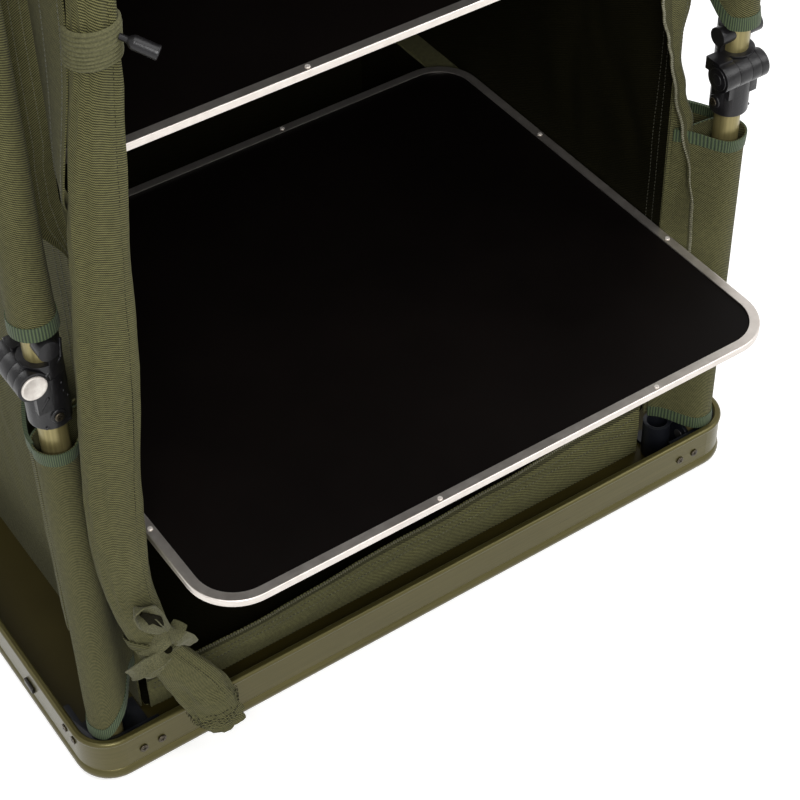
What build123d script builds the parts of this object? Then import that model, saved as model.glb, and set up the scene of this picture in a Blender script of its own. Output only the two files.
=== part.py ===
from build123d import *
import os

os.makedirs("parts", exist_ok=True)

# Folding camping cupboard. X is the width, Y the depth with the open front at -Y, Z is up.
# The origin is the middle of the base's underside. All sizes are in millimetres.

# Base and lid trays
tray_width = 600.0
tray_depth = 500.0
rim_height = 42.0
rim_corner = 28.0
rim_wall = 2.2
rim_edge = 1.2
lip_reach = 5.0
lip_height = 4.4
lip_bulge = 0.9
lip_slope = 1.4
bead_height = 10.4
bead_bulge = 1.4
bead_step = 0.7
ledge_reach = 10.0
ledge_thickness = 1.5
panel_thickness = 4.0
panel_gap = 0.25

# Legs: two tubes each, joined by a knee that stands outside the line of the leg
pole_radius = 9.5
pole_wall = 1.2
side_lip_gap = 6.2
front_lip_gap = 1.65
foot_pivot_below_rim = 17.0
tube_foot_gap = 4.5
half_leg = 369.0
knee_offset = 12.0
pin_radius = 3.0
pin_head_step = 1.5
pin_head_height = 0.7
running_gap = 0.08
open_pivot_gap = 0.5
press_gap = 0.02
face_gap = 0.3

# Knee castings; the cuts between the barrel's bands, and its end away from the pin's head, count
# from the leg's axis towards the pin's head
collar_wall = 4.5
collar_length = 41.0
collar_round = 2.0
socket_length = 33.0
boss_height = 26.0
boss_radius = 7.0
boss_stand = 8.5
knuckle_radius = 10.5
knuckle_room = 0.4
inner_cuts = [7.35, -1.15, -12.15, -24.8]
tube_stop_gap = 1.5
web_length = 24.0
web_gap = 2.0
web_overlap = 2.0
knee_cap_radius = 8.6
knee_cap_height = 1.2
knee_screw_below = 30.0
screw_head_radius = 3.3
screw_head_height = 1.4
screw_head_round = 0.6
screw_radius = 1.5
screw_gap = 0.05

# Corner brackets
bracket_reach = 34.0
bracket_wall = 4.0
bracket_floor = 3.0
bracket_below_rim = 5.0
flange_width = 8.0
flange_thickness = 3.0
cheek_gap = 0.8
cheek_thickness = 3.2
cheek_radius = 11.0
cheek_reach = 16.0
cheek_root = 1.0
cup_radius = 11.5
cup_bore = 8.5
cup_below_rim = 2.0
cup_along_fold = 11.85
cup_across_fold = 27.8
front_screws = [14.8, 29.8]
side_screws = [7.2, 20.6]
front_screws_below_rim = 20.0
side_screws_below_rim = 11.0

# Sleeves of the cover round the tubes
sleeve_thickness = 5.2
sleeve_gap = 0.3
sleeve_below_rim = 2.0
sleeve_below_knee = 61.0
sleeve_above_knee = 34.0

# Cover; its distances from the poles are to the poles' axes
cloth = 1.7
cover_from_poles = 37.5
cover_front_from_poles = 18.65
cover_back_from_poles = 23.55
cover_below_lid = 2.0
corner_room = 4.3
low_wall_above_rim = 6.0
low_wall_inset = 4.5
edge_strip = 19.7
edge_strip_at_knee = 1.2
knee_window = 51.0
valance_height = 38.0
zip_width = 5.0
zip_thickness = 1.3

# Shelves
shelf_side_gap = 1.05
shelf_front_gap = 0.8
shelf_back_gap = 0.5
shelf_thickness = 5.2
shelf_corner = 37.0
shelf_round = 1.0
shelf_lip = 7.5
shelf_sheet = 1.0
shelf_board_gap = 0.2
shelf_board_bite = 5.5
lower_shelf_bottom = 241.4
upper_shelf_bottom = 506.0
lower_shelf_drawn = 139.6
ledge_width = 21.0
ledge_height = 3.0
ledge_front_gap = 18.0
ledge_back_gap = 14.8
rivet_radius = 1.9
rivet_height = 0.8
rivet_round = 0.5
front_rivets = [-61.0, 123.0]
back_rivets = [-116.0, 68.0]
left_rivets = [-115.0, 44.0]
right_rivets = [-82.5, 76.0]

# Latches and handle on the left side of the lid
latch_offset = 150.0
latch_drop = 20.0
latch_width = 13.4
latch_plate = 20.0
latch_plate_thickness = 1.2
latch_pin_out = 4.6
latch_pin_radius = 1.5
latch_knuckle = 3.2
latch_blade = 2.5
hook_height = 4.0
hook_gap = 0.6
keeper_bottom = 17.3
keeper_height = 5.7
keeper_depth = 2.4
handle_half = 44.0
handle_drop = 38.0
handle_bar_radius = 6.0
handle_arm = 6.0
handle_arm_depth = 5.0
handle_mount_radius = 4.2

# Door, rolled up and tied at the left. Each section of the roll has its place to the right of the
# cover's left side, its depth behind the front face, its share of the roll's height, half width
# and half thickness
door_sections = [
    (23.3, 27.0, 1.0, 14.0, 12.4),
    (19.3, 4.0, 0.934, 14.0, 12.0),
    (11.3, -12.0, 0.847, 14.5, 12.0),
    (-0.7, -13.5, 0.708, 19.0, 13.0),
    (-12.7, -13.5, 0.496, 21.0, 13.0),
    (-21.7, -13.5, 0.295, 19.5, 13.0),
    (-1.7, -13.5, 0.158, 15.0, 12.5),
    (14.3, -14.5, 0.085, 18.0, 13.0),
    (27.5, -17.0, 0.0, 19.5, 15.0),
]
door_foot = 30.0
door_below_cover = 6.0
tie_thickness = 2.0
tie_room = 0.4
upper_tie = door_sections[2]
upper_tie_width = 22.0
lower_tie = door_sections[6]
lower_tie_width = 9.0
knot_size = (20.0, 9.0, 16.0)
toggle_direction = (14.0, -14.0, -8.0)
toggle_height = 3.0
toggle_stand = 2.2
toggle_length = 22.0
toggle_radius = 4.3
toggle_round = 1.2

# Places worked out from the sizes above
front = -tray_depth / 2
ledge_top = panel_thickness + ledge_thickness
tube_foot = ledge_top + bracket_floor + tube_foot_gap
foot_pivot_height = rim_height - foot_pivot_below_rim
knee_height = foot_pivot_height + half_leg
total_height = 2 * knee_height
lid_foot = total_height - rim_height
middle = Plane.XY.offset(knee_height)
sleeve_radius = pole_radius + sleeve_gap + sleeve_thickness
pole_inset_side = lip_reach + side_lip_gap + sleeve_radius
pole_inset_front = lip_reach + front_lip_gap + sleeve_radius
pole_x = tray_width / 2 - pole_inset_side
pole_y = tray_depth / 2 - pole_inset_front
collar_radius = pole_radius + collar_wall
knuckle_cuts = [collar_radius] + inner_cuts
cheek_inner = pole_radius + cheek_gap
tube_stop = knuckle_radius + tube_stop_gap
bracket_top = rim_height - bracket_below_rim
cover_half_width = pole_x - cover_from_poles
panel_front = -pole_y + cover_front_from_poles + cloth
panel_back = pole_y - cover_back_from_poles
cover_top = lid_foot - cover_below_lid
shelf_width = 2 * (cover_half_width - shelf_side_gap)
shelf_depth = panel_back - panel_front - shelf_front_gap - shelf_back_gap
upper_shelf_middle = panel_front + shelf_front_gap + shelf_depth / 2
lower_shelf_middle = upper_shelf_middle - lower_shelf_drawn

# Each leg folds the way its own +X points, so the four fold round the frame like a pinwheel:
# name, X sign, Y sign, turn, and the sides on which the pin and the collar screw go in
legs = [
    ("front_left", -1, -1, 0, -1, -1),
    ("front_right", 1, -1, 90, -1, 1),
    ("back_right", 1, 1, 180, -1, -1),
    ("back_left", -1, 1, 270, -1, 1),
]


def leg_place(leg):
    name, x_sign, y_sign, turn, pin_side, screw_side = leg
    return Location((x_sign * pole_x, y_sign * pole_y, 0), (0, 0, turn))


def leg_insets(leg):
    # distances from the pole to the rim's outer faces behind the fold and beside it
    if leg[3] in (0, 180):
        return pole_inset_side, pole_inset_front
    return pole_inset_front, pole_inset_side


def leg_screws(leg):
    # screw rows on the rim face behind the fold and on the face beside it: places and height
    on_front = (front_screws, rim_height - front_screws_below_rim)
    on_side = (side_screws, rim_height - side_screws_below_rim)
    if leg[3] in (0, 180):
        return on_side, on_front
    return on_front, on_side


def save(part, name):
    part.label = name
    export_step(part, "parts/" + name + ".step")


def group(parts):
    return Compound(children=[solid for part in parts for solid in part.solids()])


def upside_down(part):
    # the lid's fittings are the base's, mirrored about the height of the knees
    return part.mirror(middle)


def screw_seats(leg, depth):
    # places and directions of a corner's four rim screws, in the leg's own frame
    behind, beside = leg_insets(leg)
    (rows_behind, height_behind), (rows_beside, height_beside) = leg_screws(leg)
    seats = []
    for along in rows_behind:
        origin = (-behind + depth, along, height_behind)
        seats.append(Plane(origin=origin, x_dir=(0, 1, 0), z_dir=(-1, 0, 0)))
    for along in rows_beside:
        origin = (along, -beside + depth, height_beside)
        seats.append(Plane(origin=origin, x_dir=(1, 0, 0), z_dir=(0, -1, 0)))
    return seats


# Rims: an aluminium extrusion bent round the tray, with a rolled lip and a bead at the foot
with BuildLine() as rim_path:
    FilletPolyline(
        (-tray_width / 2, front),
        (tray_width / 2, front),
        (tray_width / 2, -front),
        (-tray_width / 2, -front),
        radius=rim_corner,
        close=True,
    )
rim_wire = rim_path.wire()
inward = Vector(0, 0, 1).cross(rim_wire % 0)
rim_section_plane = Plane(origin=rim_wire @ 0, x_dir=inward, z_dir=rim_wire % 0)
lip_foot = rim_height - lip_height

with BuildPart() as base_rim:
    with BuildSketch(rim_section_plane) as rim_section:
        with BuildLine():
            ThreePointArc((rim_edge, 0), (-bead_bulge, bead_height / 2), (bead_step, bead_height))
            Polyline((bead_step, bead_height), (0, bead_height + rim_edge), (0, lip_foot))
            ThreePointArc((0, lip_foot), (-lip_bulge, lip_foot + lip_height / 2), (rim_edge, rim_height))
            Polyline(
                (rim_edge, rim_height),
                (lip_reach - rim_edge, rim_height),
                (lip_reach, rim_height - rim_edge),
                (lip_reach, lip_foot + lip_slope),
                (rim_wall, lip_foot),
                (rim_wall, ledge_top),
                (ledge_reach, ledge_top),
                (ledge_reach, panel_thickness),
                (rim_wall, panel_thickness),
                (rim_wall, 0),
                (rim_edge, 0),
            )
        make_face()
    sweep(path=rim_wire)
    for leg in legs:
        for seat in screw_seats(leg, 0):
            with Locations(Plane(leg_place(leg) * seat.location)):
                Cylinder(screw_radius + screw_gap, 4 * rim_wall, mode=Mode.SUBTRACT)

save(base_rim.part, "base_rim")
save(upside_down(base_rim.part), "lid_rim")

# Panels: flat boards let in under the rim's ledge, flush with the outside
with BuildPart() as base_panel:
    with BuildSketch():
        RectangleRounded(
            tray_width - 2 * (rim_wall + panel_gap),
            tray_depth - 2 * (rim_wall + panel_gap),
            rim_corner - rim_wall - panel_gap,
        )
    extrude(amount=panel_thickness)

save(base_panel.part, "base_panel")
save(upside_down(base_panel.part), "lid_panel")


def corner_block(leg, inset, low, high):
    # a block in the tray's corner, its outer corner rounded to follow the rim
    behind, beside = leg_insets(leg)
    depth = rim_wall + panel_gap + inset
    x_size = bracket_reach + behind - depth
    y_size = bracket_reach + beside - depth
    with BuildPart() as block:
        with BuildSketch(Plane.XY.offset(low)):
            with Locations((bracket_reach - x_size / 2, bracket_reach - y_size / 2)):
                Rectangle(x_size, y_size)
            outer_corner = vertices().sort_by(lambda v: v.X + v.Y)[0]
            fillet(outer_corner, rim_corner - depth)
        extrude(amount=high - low)
    return block.part


def corner_bracket(leg):
    # moulded bracket: floor, wall and flange round the corner, two cheeks for the foot, and a cup
    behind, beside = leg_insets(leg)
    inner_floor = ledge_top + bracket_floor
    outer = corner_block(leg, 0, ledge_top, bracket_top)
    hollow = corner_block(leg, bracket_wall, inner_floor, bracket_top - flange_thickness)
    mouth = corner_block(leg, flange_width, inner_floor, bracket_top)
    cheek_back = -behind + rim_wall + panel_gap + bracket_wall / 2
    cheek_length = cheek_reach - cheek_back
    cheek_foot = inner_floor - cheek_root
    cup_top = rim_height - cup_below_rim
    with BuildPart() as cheeks:
        for side in (-1, 1):
            cheek_middle = side * (cheek_inner + cheek_thickness / 2)
            cheek_plane = Plane(origin=(0, cheek_middle, 0), x_dir=(1, 0, 0), z_dir=(0, -1, 0))
            with BuildSketch(cheek_plane):
                with Locations((0, foot_pivot_height)):
                    Circle(cheek_radius)
                with Locations((cheek_back, cheek_foot)):
                    Rectangle(
                        cheek_length,
                        foot_pivot_height - cheek_foot,
                        align=(Align.MIN, Align.MIN),
                    )
            extrude(amount=cheek_thickness / 2, both=True)
        add(outer, mode=Mode.INTERSECT)
    with BuildPart() as bracket:
        add(outer)
        add(hollow, mode=Mode.SUBTRACT)
        add(mouth, mode=Mode.SUBTRACT)
        add(cheeks.part)
        with BuildSketch(Plane.XY.offset(ledge_top)):
            with Locations((cup_along_fold, cup_across_fold)):
                Circle(cup_radius)
        extrude(amount=cup_top - ledge_top)
        with BuildSketch(Plane.XY.offset(inner_floor)):
            with Locations((cup_along_fold, cup_across_fold)):
                Circle(cup_bore)
        extrude(amount=cup_top - inner_floor, mode=Mode.SUBTRACT)
        with Locations(Location((0, 0, foot_pivot_height), (90, 0, 0))):
            Cylinder(
                pin_radius + press_gap,
                2 * (cheek_inner + cheek_thickness),
                mode=Mode.SUBTRACT,
            )
        for seat in screw_seats(leg, rim_wall + bracket_wall / 2):
            with Locations(seat):
                Cylinder(screw_radius + screw_gap, 2 * bracket_wall, mode=Mode.SUBTRACT)
    return leg_place(leg) * bracket.part


def rim_screw_set(leg):
    # pan-head screws through the rim into the bracket's wall
    screws = []
    for seat in screw_seats(leg, 0):
        with BuildPart() as screw:
            with BuildSketch(seat):
                Circle(screw_head_radius)
            extrude(amount=screw_head_height)
            fillet(edges().group_by(Axis(seat.origin, seat.z_dir))[-1], screw_head_round)
            with BuildSketch(seat):
                Circle(screw_radius)
            extrude(amount=-(rim_wall + bracket_wall))
        screws.append(leg_place(leg) * screw.part)
    return screws


def foot_pin(leg):
    # headed pin through both cheeks and the tube's end
    half = cheek_inner + cheek_thickness
    with BuildPart() as pin:
        with Locations(Location((0, 0, foot_pivot_height), (90, 0, 0))):
            Cylinder(pin_radius, 2 * half)
        for side in (-1, 1):
            head_plane = Plane(
                origin=(0, side * half, foot_pivot_height), x_dir=(1, 0, 0), z_dir=(0, side, 0)
            )
            with BuildSketch(head_plane):
                Circle(pin_radius + pin_head_step)
            extrude(amount=pin_head_height)
    return leg_place(leg) * pin.part


base_brackets = group([corner_bracket(leg) for leg in legs])
base_screws = group([screw for leg in legs for screw in rim_screw_set(leg)])
base_pins = group([foot_pin(leg) for leg in legs])
save(base_brackets, "base_brackets")
save(base_screws, "base_screws")
save(base_pins, "base_pins")
save(group([upside_down(solid) for solid in base_brackets.solids()]), "lid_brackets")
save(group([upside_down(solid) for solid in base_screws.solids()]), "lid_screws")
save(group([upside_down(solid) for solid in base_pins.solids()]), "lid_pins")


def tube(bottom, top, pivot, hole_gap):
    # drawn tube, drilled across near one end for its pivot pin
    with BuildPart() as pole:
        with BuildSketch(Plane.XY.offset(bottom)):
            Circle(pole_radius)
            Circle(pole_radius - pole_wall, mode=Mode.SUBTRACT)
        extrude(amount=top - bottom)
        with Locations(Location((0, 0, pivot), (90, 0, 0))):
            Cylinder(pin_radius + hole_gap, 4 * pole_radius, mode=Mode.SUBTRACT)
    return pole.part


def knuckle(pin_side, start, end, radius):
    # a ring of the knee's barrel; start and end count from the leg's axis towards the pin's side
    low, high = sorted((pin_side * start, pin_side * end))
    with BuildPart() as ring:
        with BuildSketch(
            Plane(origin=(-knee_offset, high, knee_height), x_dir=(1, 0, 0), z_dir=(0, -1, 0))
        ):
            Circle(radius)
        extrude(amount=high - low)
    return ring.part


def web(pin_side, start, end, bottom, top):
    # the casting's solid run from a knuckle to the collar or socket
    low, high = sorted((pin_side * start, pin_side * end))
    with BuildPart() as block:
        with BuildSketch(Plane.XY.offset(knee_height + bottom)):
            with Locations((-knee_offset, (low + high) / 2)):
                Rectangle(knee_offset + web_overlap, high - low, align=(Align.MIN, Align.CENTER))
        extrude(amount=top - bottom)
    return block.part


def knuckle_bands():
    # bands of the barrel from the pin's head inwards: lower, upper, lower, upper
    return list(zip(knuckle_cuts[:-1], knuckle_cuts[1:]))


def knee_lower(pin_side, screw_side):
    bands = knuckle_bands()
    with BuildPart() as casting:
        with BuildSketch(Plane.XY.offset(knee_height - collar_length)):
            Circle(collar_radius)
        extrude(amount=collar_length - face_gap / 2)
        fillet(edges().group_by(Axis.Z)[0], collar_round)
        for start, end in (bands[0], bands[2]):
            add(knuckle(pin_side, start - face_gap / 2, end + face_gap / 2, knuckle_radius))
            add(web(pin_side, start - face_gap / 2, end + face_gap / 2, -web_length, -web_gap))
        for start, end in (bands[1], bands[3]):
            add(knuckle(pin_side, start, end, knuckle_radius + knuckle_room), mode=Mode.SUBTRACT)
        with BuildSketch(Plane.XY.offset(knee_height - collar_length)):
            Circle(pole_radius + screw_gap)
        extrude(amount=collar_length - tube_stop, mode=Mode.SUBTRACT)
        add(knuckle(pin_side, bands[0][0], bands[-1][1], pin_radius + press_gap), mode=Mode.SUBTRACT)
        screw_height = knee_height - knee_screw_below
        with Locations(Location((0, screw_side * collar_radius, screw_height), (90, 0, 0))):
            Cylinder(screw_radius + screw_gap, 3 * (collar_radius - pole_radius), mode=Mode.SUBTRACT)
    return casting.part


def knee_upper(pin_side):
    bands = knuckle_bands()
    with BuildPart() as casting:
        with BuildSketch(Plane.XY.offset(knee_height + face_gap / 2)):
            Circle(collar_radius)
        extrude(amount=socket_length - face_gap / 2)
        with BuildSketch(Plane.XY.offset(knee_height + tube_stop)):
            Rectangle(2 * collar_radius, 3 * collar_radius, align=(Align.MAX, Align.CENTER))
        extrude(amount=socket_length, mode=Mode.SUBTRACT)
        with Locations(Location((0, 0, knee_height + boss_height), (90, 0, 0))):
            Cylinder(boss_radius, 2 * (pole_radius + boss_stand))
        for start, end in (bands[1], bands[3]):
            add(knuckle(pin_side, start - face_gap / 2, end + face_gap / 2, knuckle_radius))
            add(web(pin_side, start - face_gap / 2, end + face_gap / 2, web_gap, tube_stop))
        for start, end in (bands[0], bands[2]):
            add(knuckle(pin_side, start, end, knuckle_radius + knuckle_room), mode=Mode.SUBTRACT)
        with BuildSketch(Plane.XY.offset(knee_height + tube_stop)):
            Circle(pole_radius + screw_gap)
        extrude(amount=socket_length, mode=Mode.SUBTRACT)
        add(knuckle(pin_side, bands[0][0], bands[-1][1], pin_radius + running_gap), mode=Mode.SUBTRACT)
    return casting.part


def knee_fasteners(pin_side, screw_side):
    # the knee's pin with its flat cap, and the screw that holds the collar to the tube
    cap_face = pin_side * knuckle_cuts[0]
    screw_height = knee_height - knee_screw_below
    screw_face = screw_side * collar_radius
    with BuildPart() as pin:
        add(knuckle(pin_side, knuckle_cuts[0], knuckle_cuts[-1], pin_radius))
        cap_plane = Plane(
            origin=(-knee_offset, cap_face, knee_height), x_dir=(1, 0, 0), z_dir=(0, pin_side, 0)
        )
        with BuildSketch(cap_plane):
            Circle(knee_cap_radius)
        extrude(amount=knee_cap_height)
    with BuildPart() as screw:
        screw_plane = Plane(
            origin=(0, screw_face, screw_height), x_dir=(1, 0, 0), z_dir=(0, screw_side, 0)
        )
        with BuildSketch(screw_plane):
            Circle(screw_head_radius)
        extrude(amount=screw_head_height)
        with BuildSketch(screw_plane):
            Circle(screw_radius)
        extrude(amount=-(collar_radius - pole_radius - face_gap))
    return [pin.part, screw.part]


def sleeve(bottom, top):
    with BuildPart() as cover_sleeve:
        with BuildSketch(Plane.XY.offset(bottom)):
            Circle(sleeve_radius)
            Circle(sleeve_radius - sleeve_thickness, mode=Mode.SUBTRACT)
        extrude(amount=top - bottom)
    return cover_sleeve.part


for leg in legs:
    name, x_sign, y_sign, turn, pin_side, screw_side = leg
    place = leg_place(leg)
    sleeve_foot = rim_height - sleeve_below_rim
    head_gap = running_gap if name == "front_left" else open_pivot_gap
    lower_tube = tube(tube_foot, knee_height - tube_stop, foot_pivot_height, running_gap)
    upper_tube = tube(
        knee_height + tube_stop,
        total_height - tube_foot,
        total_height - foot_pivot_height,
        head_gap,
    )
    save(place * lower_tube, name + "_lower_tube")
    save(place * knee_lower(pin_side, screw_side), name + "_knee_lower")
    fasteners = [place * piece for piece in knee_fasteners(pin_side, screw_side)]
    save(group(fasteners), name + "_knee_fasteners")
    save(place * sleeve(sleeve_foot, knee_height - sleeve_below_knee), name + "_lower_sleeve")
    save(place * upper_tube, name + "_upper_tube")
    save(place * knee_upper(pin_side), name + "_knee_upper")
    sleeve_head = total_height - sleeve_foot
    save(place * sleeve(knee_height + sleeve_above_knee, sleeve_head), name + "_upper_sleeve")

# Cover: flat cloth panels, sewn edge to edge. Low down they keep clear of the brackets' cups
low_half_width = cover_half_width - corner_room
low_front = panel_front + low_wall_inset
low_back = panel_back - cloth / 2
low_wall_top = rim_height + low_wall_above_rim
lip_front = panel_front - cloth


def box(low, high):
    with BuildPart() as block:
        with BuildSketch(Plane.XY.offset(low[2])):
            with Locations(((low[0] + high[0]) / 2, (low[1] + high[1]) / 2)):
                Rectangle(high[0] - low[0], high[1] - low[1])
        extrude(amount=high[2] - low[2])
    return block.part


def cloth_floor(bottom):
    half, low_half = cover_half_width, low_half_width
    with BuildPart() as sheet:
        add(box((-half, low_front, bottom), (half, low_back, bottom + cloth)))
        add(box((-low_half, lip_front, bottom), (low_half, panel_back + cloth, bottom + cloth)))
    return sheet.part


floor_bottom = panel_thickness
floor_top = floor_bottom + cloth
save(cloth_floor(floor_bottom), "cover_floor")


def side_wall(side):
    inner, outer = cover_half_width, cover_half_width + cloth
    low, high = sorted((side * inner, side * outer))
    with BuildPart() as wall:
        add(box((low, low_front, floor_bottom), (high, low_back, low_wall_top)))
        add(box((low, panel_front, low_wall_top), (high, panel_back, cover_top)))
    return wall.part


with BuildPart() as back_wall:
    add(
        box(
            (-low_half_width, panel_back, floor_top),
            (low_half_width, panel_back + cloth, low_wall_top),
        )
    )
    add(
        box(
            (-cover_half_width - cloth, panel_back, low_wall_top),
            (cover_half_width + cloth, panel_back + cloth, cover_top),
        )
    )

save(group([side_wall(-1), back_wall.part, side_wall(1)]), "cover_walls")

front_lip = box((-low_half_width, lip_front, floor_top), (low_half_width, panel_front, rim_height))
save(front_lip, "cover_front_lip")

edge_reach = cover_half_width + edge_strip
window_foot = knee_height - knee_window
window_head = knee_height + knee_window
valance_foot = cover_top - valance_height

# the valance over the door, and strips of cloth up both sides, cut back at the knees
front_edges = [box((-edge_reach, lip_front, valance_foot), (edge_reach, panel_front, cover_top))]
for side in (-1, 1):
    for low_z, high_z, strip in (
        (low_wall_top, window_foot, edge_strip),
        (window_foot, window_head, edge_strip_at_knee),
        (window_head, valance_foot, edge_strip),
    ):
        low_x, high_x = sorted((side * cover_half_width, side * (cover_half_width + strip)))
        front_edges.append(box((low_x, lip_front, low_z), (high_x, panel_front, high_z)))

save(group(front_edges), "cover_front_edges")

# Zip: the half that stays on the cover, along the front lip and the right edge
zip_front = lip_front - zip_thickness
lip_zip = box(
    (-low_half_width, zip_front, rim_height - zip_width),
    (low_half_width, lip_front, rim_height),
)
edge_zips = [
    box((edge_reach - zip_width, zip_front, low_z), (edge_reach, lip_front, high_z))
    for low_z, high_z in ((low_wall_top, window_foot), (window_head, cover_top))
]
save(group([lip_zip] + edge_zips), "door_zip")

# Head of the cover: the panel fixed inside the lid, with a short skirt on each side
with BuildPart() as cover_head:
    head_bottom = total_height - panel_thickness - cloth
    add(cloth_floor(head_bottom))
    for side in (-1, 1):
        low_x, high_x = sorted((side * (cover_half_width - cloth), side * cover_half_width))
        add(box((low_x, low_front, lid_foot), (high_x, low_back, head_bottom)))
    add(box((-low_half_width, lip_front, lid_foot), (low_half_width, panel_front, head_bottom)))
    add(
        box(
            (-low_half_width, panel_back, lid_foot),
            (low_half_width, panel_back + cloth, head_bottom),
        )
    )

save(cover_head.part, "cover_head")

# Ledges along the side walls, which the shelves slide on
ledges = []
for shelf_bottom in (lower_shelf_bottom, upper_shelf_bottom):
    for side in (-1, 1):
        low_x, high_x = sorted((side * (cover_half_width - ledge_width), side * cover_half_width))
        low_corner = (low_x, panel_front + ledge_front_gap, shelf_bottom - face_gap - ledge_height)
        high_corner = (high_x, panel_back - ledge_back_gap, shelf_bottom - face_gap)
        ledges.append(box(low_corner, high_corner))
save(group(ledges), "shelf_ledges")


def shelf_plate(y_middle, bottom, height, inset):
    with BuildPart() as plate:
        with BuildSketch(Plane.XY.offset(bottom)):
            with Locations((0, y_middle)):
                RectangleRounded(shelf_width - 2 * inset, shelf_depth - 2 * inset, shelf_corner - inset)
        extrude(amount=height)
    return plate.part


def shelf(name, y_middle, bottom):
    # a channel-section aluminium frame round a thin board, with rivets on its lip
    top = bottom + shelf_thickness
    board_edge = shelf_lip - shelf_board_bite
    board_height = shelf_thickness - 2 * shelf_sheet
    with BuildPart() as shelf_frame:
        add(shelf_plate(y_middle, bottom, shelf_thickness, 0))
        fillet(edges().group_by(Axis.Z)[-1], shelf_round)
        hole = shelf_plate(y_middle, bottom, shelf_thickness, shelf_lip)
        groove = shelf_plate(y_middle, bottom + shelf_sheet, board_height, board_edge)
        add(hole, mode=Mode.SUBTRACT)
        add(groove, mode=Mode.SUBTRACT)
    board = shelf_plate(
        y_middle,
        bottom + shelf_sheet + shelf_board_gap,
        board_height - 2 * shelf_board_gap,
        board_edge + shelf_board_gap,
    )
    x_row = shelf_width / 2 - shelf_lip / 2
    y_row = shelf_depth / 2 - shelf_lip / 2
    spots = [(x, y_middle - y_row) for x in front_rivets]
    spots += [(x, y_middle + y_row) for x in back_rivets]
    spots += [(x_row, y_middle + y) for y in right_rivets]
    spots += [(-x_row, y_middle + y) for y in left_rivets]
    rivets = []
    for spot in spots:
        with BuildPart() as rivet:
            with BuildSketch(Plane.XY.offset(top)):
                with Locations(spot):
                    Circle(rivet_radius)
            extrude(amount=rivet_height)
            fillet(edges().group_by(Axis.Z)[-1], rivet_round)
        rivets.append(rivet.part)
    save(shelf_frame.part, name + "_frame")
    save(board, name + "_board")
    save(group(rivets), name + "_rivets")


shelf("lower_shelf", lower_shelf_middle, lower_shelf_bottom)
shelf("upper_shelf", upper_shelf_middle, upper_shelf_bottom)


def door_place(section):
    # middle of the roll at a section
    from_left, depth, share = section[:3]
    roll_length = cover_top - door_below_cover - door_foot
    return Vector(from_left - cover_half_width, front + depth, door_foot + share * roll_length)


def roll(stand):
    # the roll's shape, standing off from its surface
    with BuildPart() as shape:
        for section in door_sections:
            roll_middle = door_place(section)
            with BuildSketch(Plane.XY.offset(roll_middle.Z)):
                with Locations((roll_middle.X, roll_middle.Y)):
                    Ellipse(section[3] + stand, section[4] + stand)
        loft()
    return shape.part


# Door, rolled up and hanging beside the front left edge
save(roll(0), "door_roll")


def tie_band(section, width):
    # strap round the roll, which follows its lean and stays clear of the cloth
    band_middle = door_place(section)
    with BuildPart() as band:
        with BuildSketch(Plane.XY.offset(band_middle.Z - width / 2)):
            with Locations((band_middle.X, band_middle.Y)):
                Rectangle(4 * section[3], 4 * section[4])
        extrude(amount=width)
        add(roll(tie_room + tie_thickness), mode=Mode.INTERSECT)
        add(roll(tie_room), mode=Mode.SUBTRACT)
    return band.part


knot_stand = lower_tie[4] + tie_room + tie_thickness / 2
knot_back = door_place(lower_tie) - Vector(0, knot_stand, 0)
knot_low = knot_back - Vector(knot_size[0] / 2, knot_size[1], knot_size[2] / 2)
knot_high = knot_back + Vector(knot_size[0] / 2, 0, knot_size[2] / 2)
with BuildPart() as lower_band:
    add(tie_band(lower_tie, lower_tie_width))
    add(box(tuple(knot_low), tuple(knot_high)))

save(group([lower_band.part, tie_band(upper_tie, upper_tie_width)]), "door_ties")

# the toggle points forward and to the right from the upper tie's face
toggle_axis = Vector(*toggle_direction).normalized()
tie_half_width = upper_tie[3] + tie_room + tie_thickness
tie_half_thickness = upper_tie[4] + tie_room + tie_thickness
sideways = Vector(toggle_axis.X, toggle_axis.Y, 0)
to_tie_face = ((sideways.X / tie_half_width) ** 2 + (sideways.Y / tie_half_thickness) ** 2) ** -0.5
toggle_foot = door_place(upper_tie) + sideways * to_tie_face + Vector(0, 0, toggle_height)
with BuildPart() as toggle:
    with BuildSketch(Plane(origin=toggle_foot + toggle_axis * toggle_stand, z_dir=toggle_axis)):
        Circle(toggle_radius)
    extrude(amount=toggle_length)
    fillet(edges(), toggle_round)

save(toggle.part, "toggle")

# Latches on the lid's left rim, the keepers they hook under on the base, and the carrying handle
rim_face = -tray_width / 2
pivot_height = total_height - latch_drop
latch_axis_x = rim_face - latch_pin_out
latch_places = (-latch_offset, latch_offset)
closed_height = 2 * rim_height
hook_foot = keeper_bottom - face_gap - hook_height
latch_length = closed_height - latch_drop - hook_foot
bore_radius = latch_pin_radius + running_gap


def cross_cylinder(y_low, y_high, radius, x, z):
    with BuildPart() as rod:
        with BuildSketch(Plane(origin=(x, y_high, z), x_dir=(1, 0, 0), z_dir=(0, -1, 0))):
            Circle(radius)
        extrude(amount=y_high - y_low)
    return rod.part


keepers = []
for y in latch_places:
    keepers.append(
        box(
            (rim_face - keeper_depth, y - latch_width / 2, keeper_bottom),
            (rim_face, y + latch_width / 2, keeper_bottom + keeper_height),
        )
    )
save(group(keepers), "latch_keepers")

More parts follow.
